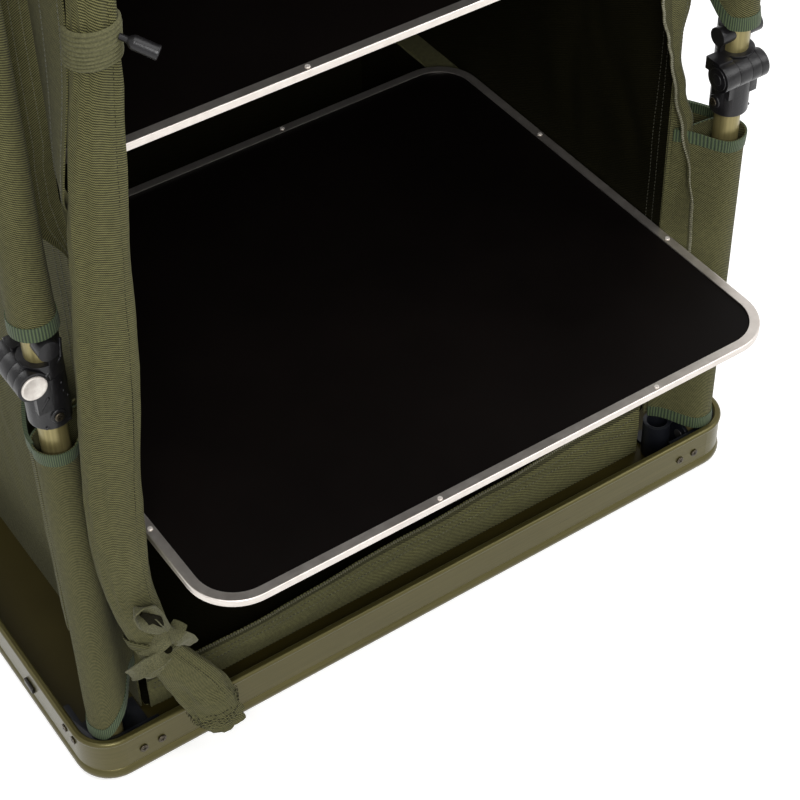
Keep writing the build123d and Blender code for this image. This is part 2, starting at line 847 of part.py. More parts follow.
plates = []
for y in latch_places:
    with BuildPart() as latch_base:
        half = latch_plate / 2
        ear_inner = latch_width / 2 + face_gap
        plate_low = (rim_face - latch_plate_thickness, y - half, pivot_height - half)
        plate_high = (rim_face, y + half, pivot_height + half / 2)
        add(box(plate_low, plate_high))
        for side in (-1, 1):
            low_y, high_y = sorted((y + side * ear_inner, y + side * half))
            add(cross_cylinder(low_y, high_y, latch_knuckle, latch_axis_x, pivot_height))
            ear_low = (latch_axis_x, low_y, pivot_height - latch_knuckle)
            ear_high = (rim_face - latch_plate_thickness, high_y, pivot_height + latch_knuckle)
            add(box(ear_low, ear_high))
        bore = cross_cylinder(y - half, y + half, bore_radius, latch_axis_x, pivot_height)
        add(bore, mode=Mode.SUBTRACT)
    plates.append(latch_base.part)
save(group(plates), "latch_plates")


def latch_lever(y):
    half = latch_width / 2
    blade_outer = latch_axis_x - latch_blade / 2
    blade_inner = latch_axis_x + latch_blade / 2
    blade_foot = pivot_height - latch_length
    pin_half = latch_plate / 2
    with BuildPart() as lever:
        add(cross_cylinder(y - half, y + half, latch_knuckle, latch_axis_x, pivot_height))
        add(box((blade_outer, y - half, blade_foot), (blade_inner, y + half, pivot_height)))
        hook_low = (latch_axis_x, y - half, blade_foot)
        hook_high = (rim_face - hook_gap, y + half, blade_foot + hook_height)
        add(box(hook_low, hook_high))
        add(cross_cylinder(y - pin_half, y + pin_half, latch_pin_radius, latch_axis_x, pivot_height))
    return lever.part


save(latch_lever(-latch_offset), "latch_front")
save(latch_lever(latch_offset), "latch_back")

mounts = []
for side in (-1, 1):
    with BuildPart() as handle_mount:
        inner = handle_half + handle_arm / 2 + face_gap
        low_y, high_y = sorted((side * inner, side * (inner + handle_arm)))
        add(cross_cylinder(low_y, high_y, handle_mount_radius, latch_axis_x, pivot_height))
        block_low = (latch_axis_x, low_y, pivot_height - latch_plate / 2)
        block_high = (rim_face, high_y, pivot_height + latch_plate / 4)
        add(box(block_low, block_high))
        bore = cross_cylinder(low_y, high_y, bore_radius, latch_axis_x, pivot_height)
        add(bore, mode=Mode.SUBTRACT)
    mounts.append(handle_mount.part)
save(group(mounts), "handle_mounts")

with BuildPart() as handle:
    grip_height = pivot_height - handle_drop
    reach = handle_half + handle_arm / 2
    add(cross_cylinder(-reach, reach, handle_bar_radius, latch_axis_x, grip_height))
    for side in (-1, 1):
        low_y, high_y = sorted((side * (reach - handle_arm), side * reach))
        add(cross_cylinder(low_y, high_y, latch_knuckle, latch_axis_x, pivot_height))
        arm_outer = latch_axis_x - handle_arm_depth / 2
        arm_inner = latch_axis_x + handle_arm_depth / 2
        add(box((arm_outer, low_y, grip_height), (arm_inner, high_y, pivot_height)))
        low_pin, high_pin = sorted((side * handle_half, side * (reach + handle_arm)))
        add(cross_cylinder(low_pin, high_pin, latch_pin_radius, latch_axis_x, pivot_height))

save(handle.part, "handle")
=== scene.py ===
import bpy
import math
from mathutils import Matrix, Vector, noise


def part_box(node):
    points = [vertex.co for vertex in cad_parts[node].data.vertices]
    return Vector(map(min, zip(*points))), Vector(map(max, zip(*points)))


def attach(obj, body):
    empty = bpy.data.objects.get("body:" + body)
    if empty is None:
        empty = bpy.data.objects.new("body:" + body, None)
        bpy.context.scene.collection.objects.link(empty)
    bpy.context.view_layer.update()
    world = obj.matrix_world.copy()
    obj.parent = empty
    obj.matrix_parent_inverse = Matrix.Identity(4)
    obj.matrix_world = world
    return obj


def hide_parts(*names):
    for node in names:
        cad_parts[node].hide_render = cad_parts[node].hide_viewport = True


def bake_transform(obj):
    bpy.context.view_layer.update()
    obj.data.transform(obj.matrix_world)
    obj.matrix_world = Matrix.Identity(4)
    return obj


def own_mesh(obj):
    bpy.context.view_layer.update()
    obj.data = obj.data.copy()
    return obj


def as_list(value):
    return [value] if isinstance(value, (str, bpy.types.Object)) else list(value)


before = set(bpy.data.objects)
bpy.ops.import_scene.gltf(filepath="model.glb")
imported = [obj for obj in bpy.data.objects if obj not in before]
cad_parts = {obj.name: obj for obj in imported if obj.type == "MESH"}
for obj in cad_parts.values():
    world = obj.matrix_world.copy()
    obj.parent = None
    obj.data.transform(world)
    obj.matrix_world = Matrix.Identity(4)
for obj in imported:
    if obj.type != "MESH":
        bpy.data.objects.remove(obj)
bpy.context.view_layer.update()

# Studio. The cupboard stands on a plain pale board under soft lamps. The camera stands before the
# left corner at about head height and looks down at the open front, with the lid out of the frame.
bpy.ops.object.select_all(action="DESELECT")
camera_turn = math.radians(-33.343)
camera_rise = math.radians(44.366)
camera_tilt = math.radians(-1.327)
bpy.ops.object.camera_add(location=(-0.59245, -1.10551, 1.24711))
camera = bpy.context.object
camera.rotation_euler = (
    Matrix.Rotation(camera_turn, 3, "Z")
    @ Matrix.Rotation(math.pi / 2 - camera_rise, 3, "X")
    @ Matrix.Rotation(camera_tilt, 3, "Z")
).to_euler()
camera.data.lens = 92.89
camera.data.sensor_width = 36
bpy.context.scene.camera = camera
bpy.context.scene.view_settings.view_transform = "Standard"


def link(owner, source, target):
    owner.node_tree.links.new(source, target)


def node(owner, kind, **sockets):
    """a shader node of a material or the world, with its settings and inputs; an input takes a
    number or another node's output, and spaces in its name are written as _"""
    made = owner.node_tree.nodes.new("ShaderNode" + kind)
    for name, value in sockets.items():
        label = name.replace("_", " ")
        if hasattr(made, name):
            setattr(made, name, value)
        elif isinstance(value, bpy.types.NodeSocket):
            link(owner, value, made.inputs[label])
        else:
            made.inputs[label].default_value = value
    return made


def empty_material(name):
    material = bpy.data.materials.new(name)
    material.use_nodes = True
    material.node_tree.nodes.clear()
    return material, node(material, "OutputMaterial")


def plainly_seen(owner):
    """1 for what the camera or a reflection sees, 0 for what only lights"""
    path = node(owner, "LightPath")
    either = node(owner, "Math", operation="MAXIMUM")
    link(owner, path.outputs["Is Camera Ray"], either.inputs[0])
    link(owner, path.outputs["Is Glossy Ray"], either.inputs[1])
    return either.outputs[0]


white = (1, 1, 1, 1)
floor_material, floor_output = empty_material("studio_floor")
floor_board = node(floor_material, "BsdfDiffuse", Color=(0.86, 0.86, 0.86, 1))
floor_place = node(floor_material, "TexCoord")
floor_reach = node(floor_material, "VectorMath", operation="LENGTH")
link(floor_material, floor_place.outputs["Object"], floor_reach.inputs[0])
floor_fade = node(
    floor_material, "MapRange", Value=floor_reach.outputs["Value"],
    From_Min=0.9, From_Max=3.2, To_Min=0.42, To_Max=1.0,
)
floor_glow = node(floor_material, "Math", operation="MULTIPLY")
link(floor_material, plainly_seen(floor_material), floor_glow.inputs[0])
link(floor_material, floor_fade.outputs["Result"], floor_glow.inputs[1])
floor_light = node(floor_material, "Emission", Color=white, Strength=floor_glow.outputs[0])
floor_sum = node(floor_material, "AddShader")
link(floor_material, floor_board.outputs[0], floor_sum.inputs[0])
link(floor_material, floor_light.outputs[0], floor_sum.inputs[1])
link(floor_material, floor_sum.outputs[0], floor_output.inputs["Surface"])
bpy.ops.mesh.primitive_plane_add(size=14, location=(0, 0, -0.0006))
floor = bpy.context.object
floor.name = "studio_floor"
bpy.ops.object.transform_apply(location=True, rotation=False, scale=False)
floor.data.materials.append(floor_material)

world = bpy.data.worlds.new("studio_world")
bpy.context.scene.world = world
world.use_nodes = True
world.node_tree.nodes.clear()
room = node(world, "Background", Color=white, Strength=0.24)
backdrop = node(world, "Background", Color=white, Strength=1.0)
room_mix = node(world, "MixShader", Fac=plainly_seen(world))
link(world, room.outputs[0], room_mix.inputs[1])
link(world, backdrop.outputs[0], room_mix.inputs[2])
link(world, room_mix.outputs[0], node(world, "OutputWorld").inputs["Surface"])


def soft_lamp(name, place, target, size, power):
    bpy.ops.object.light_add(type="AREA", location=place)
    lamp = bpy.context.object
    lamp.name = name
    lamp.data.size = size
    lamp.data.energy = power
    lamp.rotation_euler = (Vector(target) - Vector(place)).to_track_quat("-Z", "Y").to_euler()


soft_lamp("lamp_front", (-1.4, -2.7, 2.5), (0, 0, 0.3), 1.6, 84)
soft_lamp("lamp_right", (2.2, -2.0, 2.4), (0, 0, 0.3), 1.8, 40)
soft_lamp("lamp_top", (0.2, -0.4, 3.2), (0, 0, 0.3), 2.2, 36)
soft_lamp("lamp_back", (-0.6, 2.8, 1.9), (0, 0, 0.4), 2.0, 30)


# Tray rims. One aluminium extrusion, bent round four corners and joined at the back, anodised
# olive. It has a rolled lip, a flat band with faint drawing lines, and a bead at its foot.
def surface(name, metallic, roughness, **finish):
    """a material with its main shader, whose sockets are set directly"""
    material, output = empty_material(name)
    shader = node(material, "BsdfPrincipled", Metallic=metallic, Roughness=roughness, **finish)
    link(material, shader.outputs[0], output.inputs["Surface"])
    return material, shader


def place_in(material, scale=(1, 1, 1)):
    """the object's own coordinates in metres, stretched for a pattern"""
    where = node(material, "TexCoord")
    return node(material, "Mapping", Scale=scale, Vector=where.outputs["Object"]).outputs["Vector"]


def speckle(material, vector, scale, detail=4, rough=0.6):
    made = node(material, "TexNoise", Scale=scale, Detail=detail, Roughness=rough, Vector=vector)
    return made.outputs["Fac"]


def colours(material, factor, low, high, start=0.35, end=0.65):
    """a colour that runs from one to the other as the pattern rises"""
    ramp = node(material, "ValToRGB", Fac=factor)
    for element, position, colour in zip(ramp.color_ramp.elements, (start, end), (low, high)):
        element.position = position
        element.color = (*colour, 1)
    return ramp.outputs["Color"]


def spread(material, factor, low, high):
    """a number that runs from low to high as the pattern rises"""
    return node(material, "MapRange", Value=factor, To_Min=low, To_Max=high).outputs["Result"]


def mixed(material, share, first, second):
    """two patterns, mixed by a fixed share of the second"""
    made = node(material, "Mix", data_type="FLOAT", Factor=share)
    link(material, first, made.inputs[2])
    link(material, second, made.inputs[3])
    return made.outputs[0]


def darkened(material, share, tone, pattern):
    """a colour multiplied by a share of a pattern"""
    made = node(material, "Mix", data_type="RGBA", blend_type="MULTIPLY", Factor=share)
    link(material, tone, made.inputs[6])
    link(material, pattern, made.inputs[7])
    return made.outputs[2]


def relief(material, shader, height, depth, strength):
    """bump of that depth in metres"""
    bump = node(material, "Bump", Distance=depth, Strength=strength, Height=height)
    link(material, bump.outputs["Normal"], shader.inputs["Normal"])


def mottled(
    name, metallic, roughness, cloud, low, high, gloss=None, grain=None, bump=None, **finish
):
    """a surface whose tone, and roughness within gloss, follow a cloud of (scale, detail); its
    bump of (depth, strength) follows the grain, or else the cloud"""
    material, shader = surface(name, metallic, roughness, **finish)
    pattern = speckle(material, place_in(material), *cloud)
    link(material, colours(material, pattern, low, high), shader.inputs["Base Color"])
    if gloss:
        link(material, spread(material, pattern, *gloss), shader.inputs["Roughness"])
    if grain:
        pattern = speckle(material, place_in(material), *grain)
    if bump:
        relief(material, shader, pattern, *bump)
    return material


def dress(piece, material):
    piece.data.materials.clear()
    piece.data.materials.append(material)


rim_metal, rim_shader = surface("rim_metal", 0.55, 0.34, Anisotropic=0.3, Specular_IOR_Level=0.35)
rim_cloud = speckle(rim_metal, place_in(rim_metal), 9, 3)
rim_streak = speckle(rim_metal, place_in(rim_metal, (3, 3, 420)), 3.2, 5, 0.7)
rim_tone = colours(rim_metal, rim_streak, (0.084, 0.072, 0.022), (0.114, 0.098, 0.034))
link(rim_metal, darkened(rim_metal, 0.25, rim_tone, rim_cloud), rim_shader.inputs["Base Color"])
link(rim_metal, spread(rim_metal, rim_streak, 0.24, 0.36), rim_shader.inputs["Roughness"])
relief(rim_metal, rim_shader, rim_streak, 0.00012, 0.5)
for name in ("base_rim", "lid_rim"):
    dress(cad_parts[name], rim_metal)

# Tray floors. Thin boards let in under the rim's ledge, with a smooth olive-brown film on both
# faces, a little scuffed by what has stood on them.
panel_film = mottled(
    "panel_film", 0.0, 0.42, (6, 5), (0.026, 0.020, 0.0032), (0.036, 0.028, 0.0050),
    gloss=(0.36, 0.5), grain=(900, 2), bump=(0.00008, 0.5), Specular_IOR_Level=0.2,
)
for name in ("base_panel", "lid_panel"):
    dress(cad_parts[name], panel_film)


# Corner brackets, moulded in blue-black nylon: a flange that follows the corner, two cheeks for
# the leg's foot and an open cup. The moulds leave rounded edges and a fine sparked grain.
def alone(piece):
    """selects one piece and nothing else, and makes it active"""
    bpy.ops.object.select_all(action="DESELECT")
    piece.select_set(True)
    bpy.context.view_layer.objects.active = piece


def modified(piece, kind, **settings):
    """a modifier of the active piece, applied"""
    made = piece.modifiers.new("made", kind)
    for name, value in settings.items():
        setattr(made, name, value)
    bpy.ops.object.modifier_apply(modifier=made.name)


def eased(node_name, name, width, segments=2):
    """a copy of a CAD node as one welded mesh, its sharp edges rounded as a mould leaves them"""
    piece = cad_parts[node_name].copy()
    piece.data = piece.data.copy()
    piece.name = name
    piece.parent = None
    bpy.context.scene.collection.objects.link(piece)
    for key in list(piece.keys()):
        del piece[key]
    alone(piece)
    bpy.ops.object.mode_set(mode="EDIT")
    bpy.ops.mesh.select_all(action="SELECT")
    bpy.ops.mesh.remove_doubles(threshold=0.000002)
    bpy.ops.mesh.dissolve_limited(angle_limit=math.radians(0.6))
    bpy.ops.object.mode_set(mode="OBJECT")
    modified(
        piece, "BEVEL", width=width, segments=segments, limit_method="ANGLE",
        angle_limit=math.radians(38),
    )
    bpy.ops.object.shade_smooth_by_angle(angle=math.radians(32))
    return piece


bracket_nylon = mottled(
    "bracket_nylon", 0.0, 0.42, (38, 4), (0.0040, 0.0045, 0.0065), (0.0085, 0.0095, 0.0130),
    gloss=(0.34, 0.52), grain=(1500, 2), bump=(0.0001, 0.4), Specular_IOR_Level=0.3,
)
for tray in ("base", "lid"):
    brackets = eased(tray + "_brackets", tray + "_corner_mouldings", 0.0005)
    dress(brackets, bracket_nylon)
    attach(brackets, tray)
    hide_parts(tray + "_brackets")

# Rim screws. Black-zinc pan heads with a cross recess, two through each face beside every corner,
# modelled once and driven at slightly different turns.
tray_x, tray_y = 0.300, 0.250
pole_x, pole_y = 0.2738, 0.22835
full_height = 0.788
screw_radius, screw_height = 0.0033, 0.0014
side_screws, side_screw_z = (0.0072, 0.0206), 0.031
front_screws, front_screw_z = (0.0148, 0.0298), 0.022
screw_zinc = mottled(
    "screw_zinc", 0.9, 0.3, (900, 4), (0.030, 0.024, 0.017), (0.105, 0.088, 0.062),
    gloss=(0.22, 0.42),
)


def apply_place(piece):
    alone(piece)
    bpy.ops.object.transform_apply(location=True, rotation=True, scale=True)


def joined(parts, name):
    """the parts as one piece with that name"""
    alone(parts[0])
    for part in parts:
        part.select_set(True)
    if len(parts) > 1:
        bpy.ops.object.join()
    parts[0].name = name
    return parts[0]


def pick_faces(piece, chosen):
    """in edit mode, with the faces that pass a test selected"""
    bpy.ops.object.mode_set(mode="OBJECT")
    for face in piece.data.polygons:
        face.select = chosen(face)
    bpy.ops.object.mode_set(mode="EDIT")


def pan_head():
    """the screw's head on its shank, pointing along +Z, its cross cut by two crossing blades"""
    bpy.ops.object.select_all(action="DESELECT")
    bpy.ops.mesh.primitive_cylinder_add(vertices=28, radius=screw_radius, depth=screw_height)
    head = bpy.context.object
    head.location.z = screw_height / 2
    apply_place(head)
    bpy.ops.object.mode_set(mode="EDIT")
    bpy.ops.mesh.select_all(action="DESELECT")
    # the edges of both ends and the sides stay selected with the top face, so all are rounded
    pick_faces(head, lambda face: abs(face.center.z - screw_height / 2) > 0.4 * screw_height)
    bpy.ops.mesh.select_mode(type="FACE")
    pick_faces(head, lambda face: face.center.z > 0.9 * screw_height)
    bpy.ops.mesh.bevel(offset=0.0008, segments=4, profile=0.55, affect="EDGES")
    pick_faces(head, lambda face: face.normal.z < -0.9)
    bpy.ops.mesh.inset(thickness=screw_radius - 0.0015)
    bpy.ops.mesh.extrude_region_move(TRANSFORM_OT_translate={"value": (0, 0, -0.006)})
    bpy.ops.object.mode_set(mode="OBJECT")
    for turn in (0, math.pi / 2):
        bpy.ops.mesh.primitive_cube_add(size=1, location=(0, 0, screw_height - 0.0001))
        blade = bpy.context.object
        blade.scale = (0.0036, 0.0007, 0.0014)
        blade.rotation_euler.z = turn
        apply_place(blade)
        alone(head)
        modified(head, "BOOLEAN", object=blade, operation="DIFFERENCE", solver="EXACT")
        bpy.data.objects.remove(blade)
    bpy.ops.object.shade_smooth_by_angle(angle=math.radians(35))
    return head


def along_z(direction):
    """a turn that brings +Z to a direction"""
    return Vector(direction).to_track_quat("Z", "Y").to_matrix().to_4x4()


def set_screws(pattern, seats, name):
    """copies of the screw at their seats, (place, direction, turn), joined as one piece"""
    copies = []
    for place, outward, turn in seats:
        screw = pattern.copy()
        screw.data = pattern.data.copy()
        bpy.context.scene.collection.objects.link(screw)
        turned = along_z(outward) @ Matrix.Rotation(turn, 4, "Z")
        screw.matrix_world = Matrix.Translation(place) @ turned
        copies.append(screw)
    bpy.context.view_layer.update()
    screws = joined(copies, name)
    apply_place(screws)
    dress(screws, screw_zinc)
    return screws


pattern_screw = pan_head()
for tray in ("base", "lid"):
    side_z, front_z = side_screw_z, front_screw_z
    if tray == "lid":
        side_z, front_z = full_height - side_z, full_height - front_z
    seats = []
    for x_side in (-1, 1):
        for y_side in (-1, 1):
            for number, inward in enumerate(side_screws):
                place = (x_side * tray_x, y_side * (pole_y - inward), side_z)
                seats.append((place, (x_side, 0, 0), 0.5 + number + x_side + y_side))
            for number, inward in enumerate(front_screws):
                place = (x_side * (pole_x - inward), y_side * tray_y, front_z)
                seats.append((place, (0, y_side, 0), 0.3 + 2 * number + x_side + y_side))
    rim_screws = set_screws(pattern_screw, seats, tray + "_rim_screws")
    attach(rim_screws, tray)
    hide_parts(tray + "_screws")

# Foot pins and catches. Turned steel pins hold the legs' ends in the brackets, and pressed
# catches stand on the left face of the base for the latches to hook under.
turned_steel = mottled(
    "turned_steel", 0.9, 0.32, (1300, 3), (0.20, 0.195, 0.185), (0.34, 0.33, 0.315),
    gloss=(0.24, 0.42),
)
for tray in ("base", "lid"):
    dress(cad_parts[tray + "_pins"], turned_steel)

dark_steel = mottled(
    "dark_steel", 0.85, 0.36, (240, 4), (0.022, 0.020, 0.018), (0.050, 0.046, 0.040),
    gloss=(0.3, 0.46), bump=(0.0001, 0.3),
)
keepers = eased("latch_keepers", "catches", 0.0005)
dress(keepers, dark_steel)
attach(keepers, "base")
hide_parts("latch_keepers")

# Leg tubes. Drawn aluminium, 19 mm across, anodised khaki. Drawing lines run along them, under a
# loose cloud of rougher and glossier patches.
legs = ("front_left", "front_right", "back_right", "back_left")
tube_metal, tube_shader = surface("tube_metal", 0.55, 0.34, Anisotropic=0.25)
tube_lines = speckle(tube_metal, place_in(tube_metal, (260, 260, 2)), 3, 4)
tube_cloud = speckle(tube_metal, place_in(tube_metal), 24, 3)
tube_tone = colours(tube_metal, tube_lines, (0.205, 0.172, 0.068), (0.280, 0.238, 0.100))
link(tube_metal, tube_tone, tube_shader.inputs["Base Color"])
link(tube_metal, spread(tube_metal, tube_cloud, 0.28, 0.44), tube_shader.inputs["Roughness"])
relief(tube_metal, tube_shader, tube_lines, 0.00006, 0.4)
for leg in legs:
    for half in ("_lower_tube", "_upper_tube"):
        dress(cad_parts[leg + half], tube_metal)

# Knees. Two castings of black glass-filled nylon turn on a pin beside the leg: a collar with a
# barrel below, and a socket with ears and a rib above. Their edges are rounded by the mould.
knee_nylon = mottled(
    "knee_nylon", 0.0, 0.4, (70, 5), (0.0045, 0.0042, 0.0048), (0.0110, 0.0104, 0.0114),
    gloss=(0.20, 0.44), grain=(700, 3), bump=(0.00025, 0.5), Specular_IOR_Level=0.32,
)
leg_turns = {"front_left": 0, "front_right": 90, "back_right": 180, "back_left": 270}
leg_corners = {
    "front_left": (-1, -1), "front_right": (1, -1), "back_right": (1, 1), "back_left": (-1, 1)
}
screw_sides = {"front_left": -1, "front_right": 1, "back_right": -1, "back_left": 1}
knee_z, knee_back, collar, barrel_end = 0.394, 0.012, 0.014, 0.0248
collar_screw_drop, cap_radius, tooth_ring = 0.030, 0.0086, 0.0102


def at_leg(leg):
    """the leg's own frame: its pole's axis, turned the way it folds"""
    x_side, y_side = leg_corners[leg]
    turn = Matrix.Rotation(math.radians(leg_turns[leg]), 4, "Z")
    return Matrix.Translation((x_side * pole_x, y_side * pole_y, 0)) @ turn


def moulded_rib(start, end, width, height, outward):
    """a low rounded rib between two points of a casting's face"""
    along = Vector(end) - Vector(start)
    middle = (Vector(start) + Vector(end)) / 2
    bpy.ops.object.select_all(action="DESELECT")
    bpy.ops.mesh.primitive_cube_add(size=1, location=(0, 0, 0))
    rib = bpy.context.object
    rib.scale = (along.length, width, height)
    apply_place(rib)
    modified(rib, "BEVEL", width=0.45 * min(width, height), segments=3)
    x_axis = along.normalized()
    z_axis = (Vector(outward) - x_axis * x_axis.dot(Vector(outward))).normalized()
    turn = Matrix((x_axis, z_axis.cross(x_axis), z_axis)).transposed().to_4x4()
    rib.matrix_world = Matrix.Translation(middle) @ turn
    apply_place(rib)
    return rib


def round_dot(place, axis, radius, height):
    """a short round boss with a softened rim, standing along an axis"""
    bpy.ops.object.select_all(action="DESELECT")
    bpy.ops.mesh.primitive_cylinder_add(vertices=20, radius=radius, depth=height)
    dot = bpy.context.object
    apply_place(dot)
    modified(dot, "BEVEL", width=0.4 * min(radius, height), segments=3, limit_method="ANGLE")
    dot.matrix_world = Matrix.Translation(place) @ along_z(axis)
    apply_place(dot)
    return dot


# the upper casting's ribs and the lower one's in the leg's own frame: (x, share of the collar's
# radius, height over the knee) of both ends, their width and height, and how they lean
upper_ribs = (
    ((-0.004, 0.97, 0.004), (0.009, 0.80, 0.012), 0.0022, 0.0022, 0),
    ((0.009, 0.80, 0.012), (0.011, 0.70, 0.026), 0.0022, 0.0022, 0.4),
)
lower_ribs = (
    ((-0.004, 0.99, -0.0125), (-0.0105, 0.92, -0.022), 0.002, 0.0018, 0),
    ((0.009, 0.84, -0.0385), (-0.009, 0.84, -0.0385), 0.002, 0.0018, 0),
)


def casting_ribs(ribs):
    return [
        moulded_rib(
            (x, -collar * out, knee_z + z), (end_x, -collar * end_out, knee_z + end_z),
            width, height, (lean, -1, 0),
        )
        for (x, out, z), (end_x, end_out, end_z), width, height, lean in ribs
    ]


for leg in legs:
    lower = eased(leg + "_knee_lower", leg + "_knee_collar", 0.0007, 3)
    upper = eased(leg + "_knee_upper", leg + "_knee_socket", 0.0007, 3)
    upper_extras = casting_ribs(upper_ribs)
    lower_extras = []
    # small ejector dots on the collar's face
    for x, drop in ((0.0062, 0.0065), (0.0068, 0.0135), (0.0098, 0.0205)):
        spot = Vector((x, -math.sqrt(collar ** 2 - x ** 2), 0))
        lower_extras.append(round_dot(spot + Vector((0, 0, knee_z - drop)), spot, 0.0010, 0.0010))
    # a raised seat round the collar screw, and the rings on the barrel's plain end
    screw_side = screw_sides[leg]
    seat = (0, screw_side * (collar - 0.0002), knee_z - collar_screw_drop)
    lower_extras.append(round_dot(seat, (0, screw_side, 0), 0.0052, 0.0020))
    for out, radius in ((1, cap_radius), (1.02, 0.0044)):
        ring = (-knee_back, barrel_end * out, knee_z)
        upper_extras.append(round_dot(ring, (0, 1, 0), radius, 0.0014))
    # teeth round the barrel
    for tooth in range(5):
        turn = math.radians(-50 + 34 * tooth)
        outward = Vector((math.cos(turn), 0, math.sin(turn)))
        spot = outward * tooth_ring + Vector((-knee_back, 0.0130, knee_z))
        lower_extras.append(round_dot(spot, outward, 0.0012, 0.0016))
    lower_extras += casting_ribs(lower_ribs)
    for extra in upper_extras + lower_extras:
        extra.matrix_world = at_leg(leg)
        apply_place(extra)
    upper = joined([upper] + upper_extras, leg + "_knee_socket")
    lower = joined([lower] + lower_extras, leg + "_knee_collar")
    for piece, half, cad in (
        (lower, "_lower_leg", "_knee_lower"), (upper, "_upper_leg", "_knee_upper")
    ):
        alone(piece)
        bpy.ops.object.shade_smooth_by_angle(angle=math.radians(32))
        dress(piece, knee_nylon)
        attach(piece, leg + half)
        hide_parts(leg + cad)

# Knee pins and collar screws. A broad flat cap of cream-coloured nickel closes each pin, and a
# cross-head screw holds each collar on its tube.
cap_nickel = mottled(
    "cap_nickel", 0.35, 0.42, (260, 4), (0.60, 0.55, 0.50), (0.74, 0.70, 0.64),
    gloss=(0.34, 0.5), bump=(0.00004, 0.4),
)
pin_reach = 0.020
for leg in legs:
    bpy.ops.object.select_all(action="DESELECT")
    bpy.ops.mesh.primitive_cylinder_add(vertices=48, radius=cap_radius, depth=0.0012)
    cap = bpy.context.object
    bpy.ops.object.mode_set(mode="EDIT")
    bpy.ops.mesh.select_mode(type="FACE")
    bpy.ops.mesh.select_all(action="DESELECT")
    pick_faces(cap, lambda face: face.normal.z > 0.9)
    bpy.ops.mesh.bevel(offset=0.0004, segments=3, affect="EDGES")
    pick_faces(cap, lambda face: face.normal.z > 0.99 and face.area > 0.0001)
    bpy.ops.mesh.inset(thickness=0.0011)
    bpy.ops.mesh.inset(thickness=0.0003)
    bpy.ops.transform.translate(value=(0, 0, -0.00015))
    bpy.ops.object.mode_set(mode="OBJECT")
    knee_pin = at_leg(leg) @ Matrix.Translation((-knee_back, 0, knee_z)) @ along_z((0, -1, 0))
    cap.matrix_world = knee_pin @ Matrix.Translation((0, 0, collar + 0.0006))
    apply_place(cap)
    bpy.ops.mesh.primitive_cylinder_add(vertices=24, radius=0.003, depth=collar + pin_reach)
    shaft = bpy.context.object
    shaft.matrix_world = knee_pin @ Matrix.Translation((0, 0, (collar - pin_reach) / 2))
    apply_place(shaft)
    modified(shaft, "BEVEL", width=0.0004, limit_method="ANGLE")
    cap = joined([cap, shaft], leg + "_knee_cap")
    bpy.ops.object.shade_smooth_by_angle(angle=math.radians(35))
    dress(cap, cap_nickel)
    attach(cap, leg + "_lower_leg")
    screw_side = screw_sides[leg]
    seat = at_leg(leg) @ Vector((0, screw_side * (collar + 0.0008), knee_z - collar_screw_drop))
    outward = at_leg(leg).to_3x3() @ Vector((0, screw_side, 0))
    collar_screw = set_screws(pattern_screw, [(seat, outward, 0.6)], leg + "_collar_screw")
    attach(collar_screw, leg + "_lower_leg")
    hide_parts(leg + "_knee_fasteners")

# Cover walls. The cover is sewn from olive polyester twill, coated inside; the coated side is
# painted near-black, partly the coating's own colour and partly painted shade for the dim inside
# of the cupboard. The walls hang from the lid and are fixed to the tray, with loose folds that
# gather towards the corners.
twill_pitch, thread_pitch = 0.00140, 0.00095


def ribs(material, vector, pitch, direction, distortion, detail, detail_scale):
    """parallel waves at a pitch in metres"""
    made = node(
        material, "TexWave", wave_type="BANDS", bands_direction=direction, wave_profile="SIN",
        Scale=2 * math.pi / (20 * pitch), Distortion=distortion, Detail=detail,
        Detail_Scale=detail_scale, Vector=vector,
    )
    return made.outputs["Fac"]


def twill(name, low, high, fuzz=0.03, shine=0.11):
    """woven cloth on the piece's own UV map in metres: fine diagonal ribs and a wider mottling"""
    material, shader = surface(
        name, 0.0, 0.8, Sheen_Weight=fuzz, Sheen_Roughness=0.5, Specular_IOR_Level=shine
    )
    laid_out = node(material, "UVMap", uv_map="UVMap").outputs["UV"]
    weave = []
    waves = ((28, (twill_pitch, "Y", 0.35, 2, 60)), (-58, (thread_pitch, "Y", 0.5, 1, 80)))
    for turn, wave in waves:
        turned = node(material, "Mapping", Rotation=(0, 0, math.radians(turn)), Vector=laid_out)
        weave.append(ribs(material, turned.outputs["Vector"], *wave))
    slub = speckle(material, laid_out, 260, 4, 0.7)
    worn = mixed(material, 0.35, mixed(material, 0.3, *weave), slub)
    tone = colours(material, worn, low, high, 0.30, 0.72)
    cloud = speckle(material, place_in(material), 14, 3)
    link(material, darkened(material, 0.22, tone, cloud), shader.inputs["Base Color"])
    relief(material, shader, worn, 0.0007, 0.7)
    return material


cover_twill = twill("cover_twill", (0.014, 0.0135, 0.004), (0.166, 0.158, 0.066))
# the coated side: a near-black twill, partly the coating's own colour, partly painted shade for
# the dim inside
coating_and_painted_shade = twill(
    "coating_and_painted_shade", (0.0022, 0.0019, 0.0005), (0.0110, 0.0098, 0.0028), fuzz=0.0, shine=0.05
)
cloth_gauge = 0.0014


def coat_inside_painted_shade(piece, towards):
    """the coated side of a sheet, near-black as coating and as painted shade: the faces that look
    the given way
    """
    piece.data.materials.append(coating_and_painted_shade)
    for face in piece.data.polygons:
        if face.normal.dot(Vector(towards)) > 0.3:
            face.material_index = 1


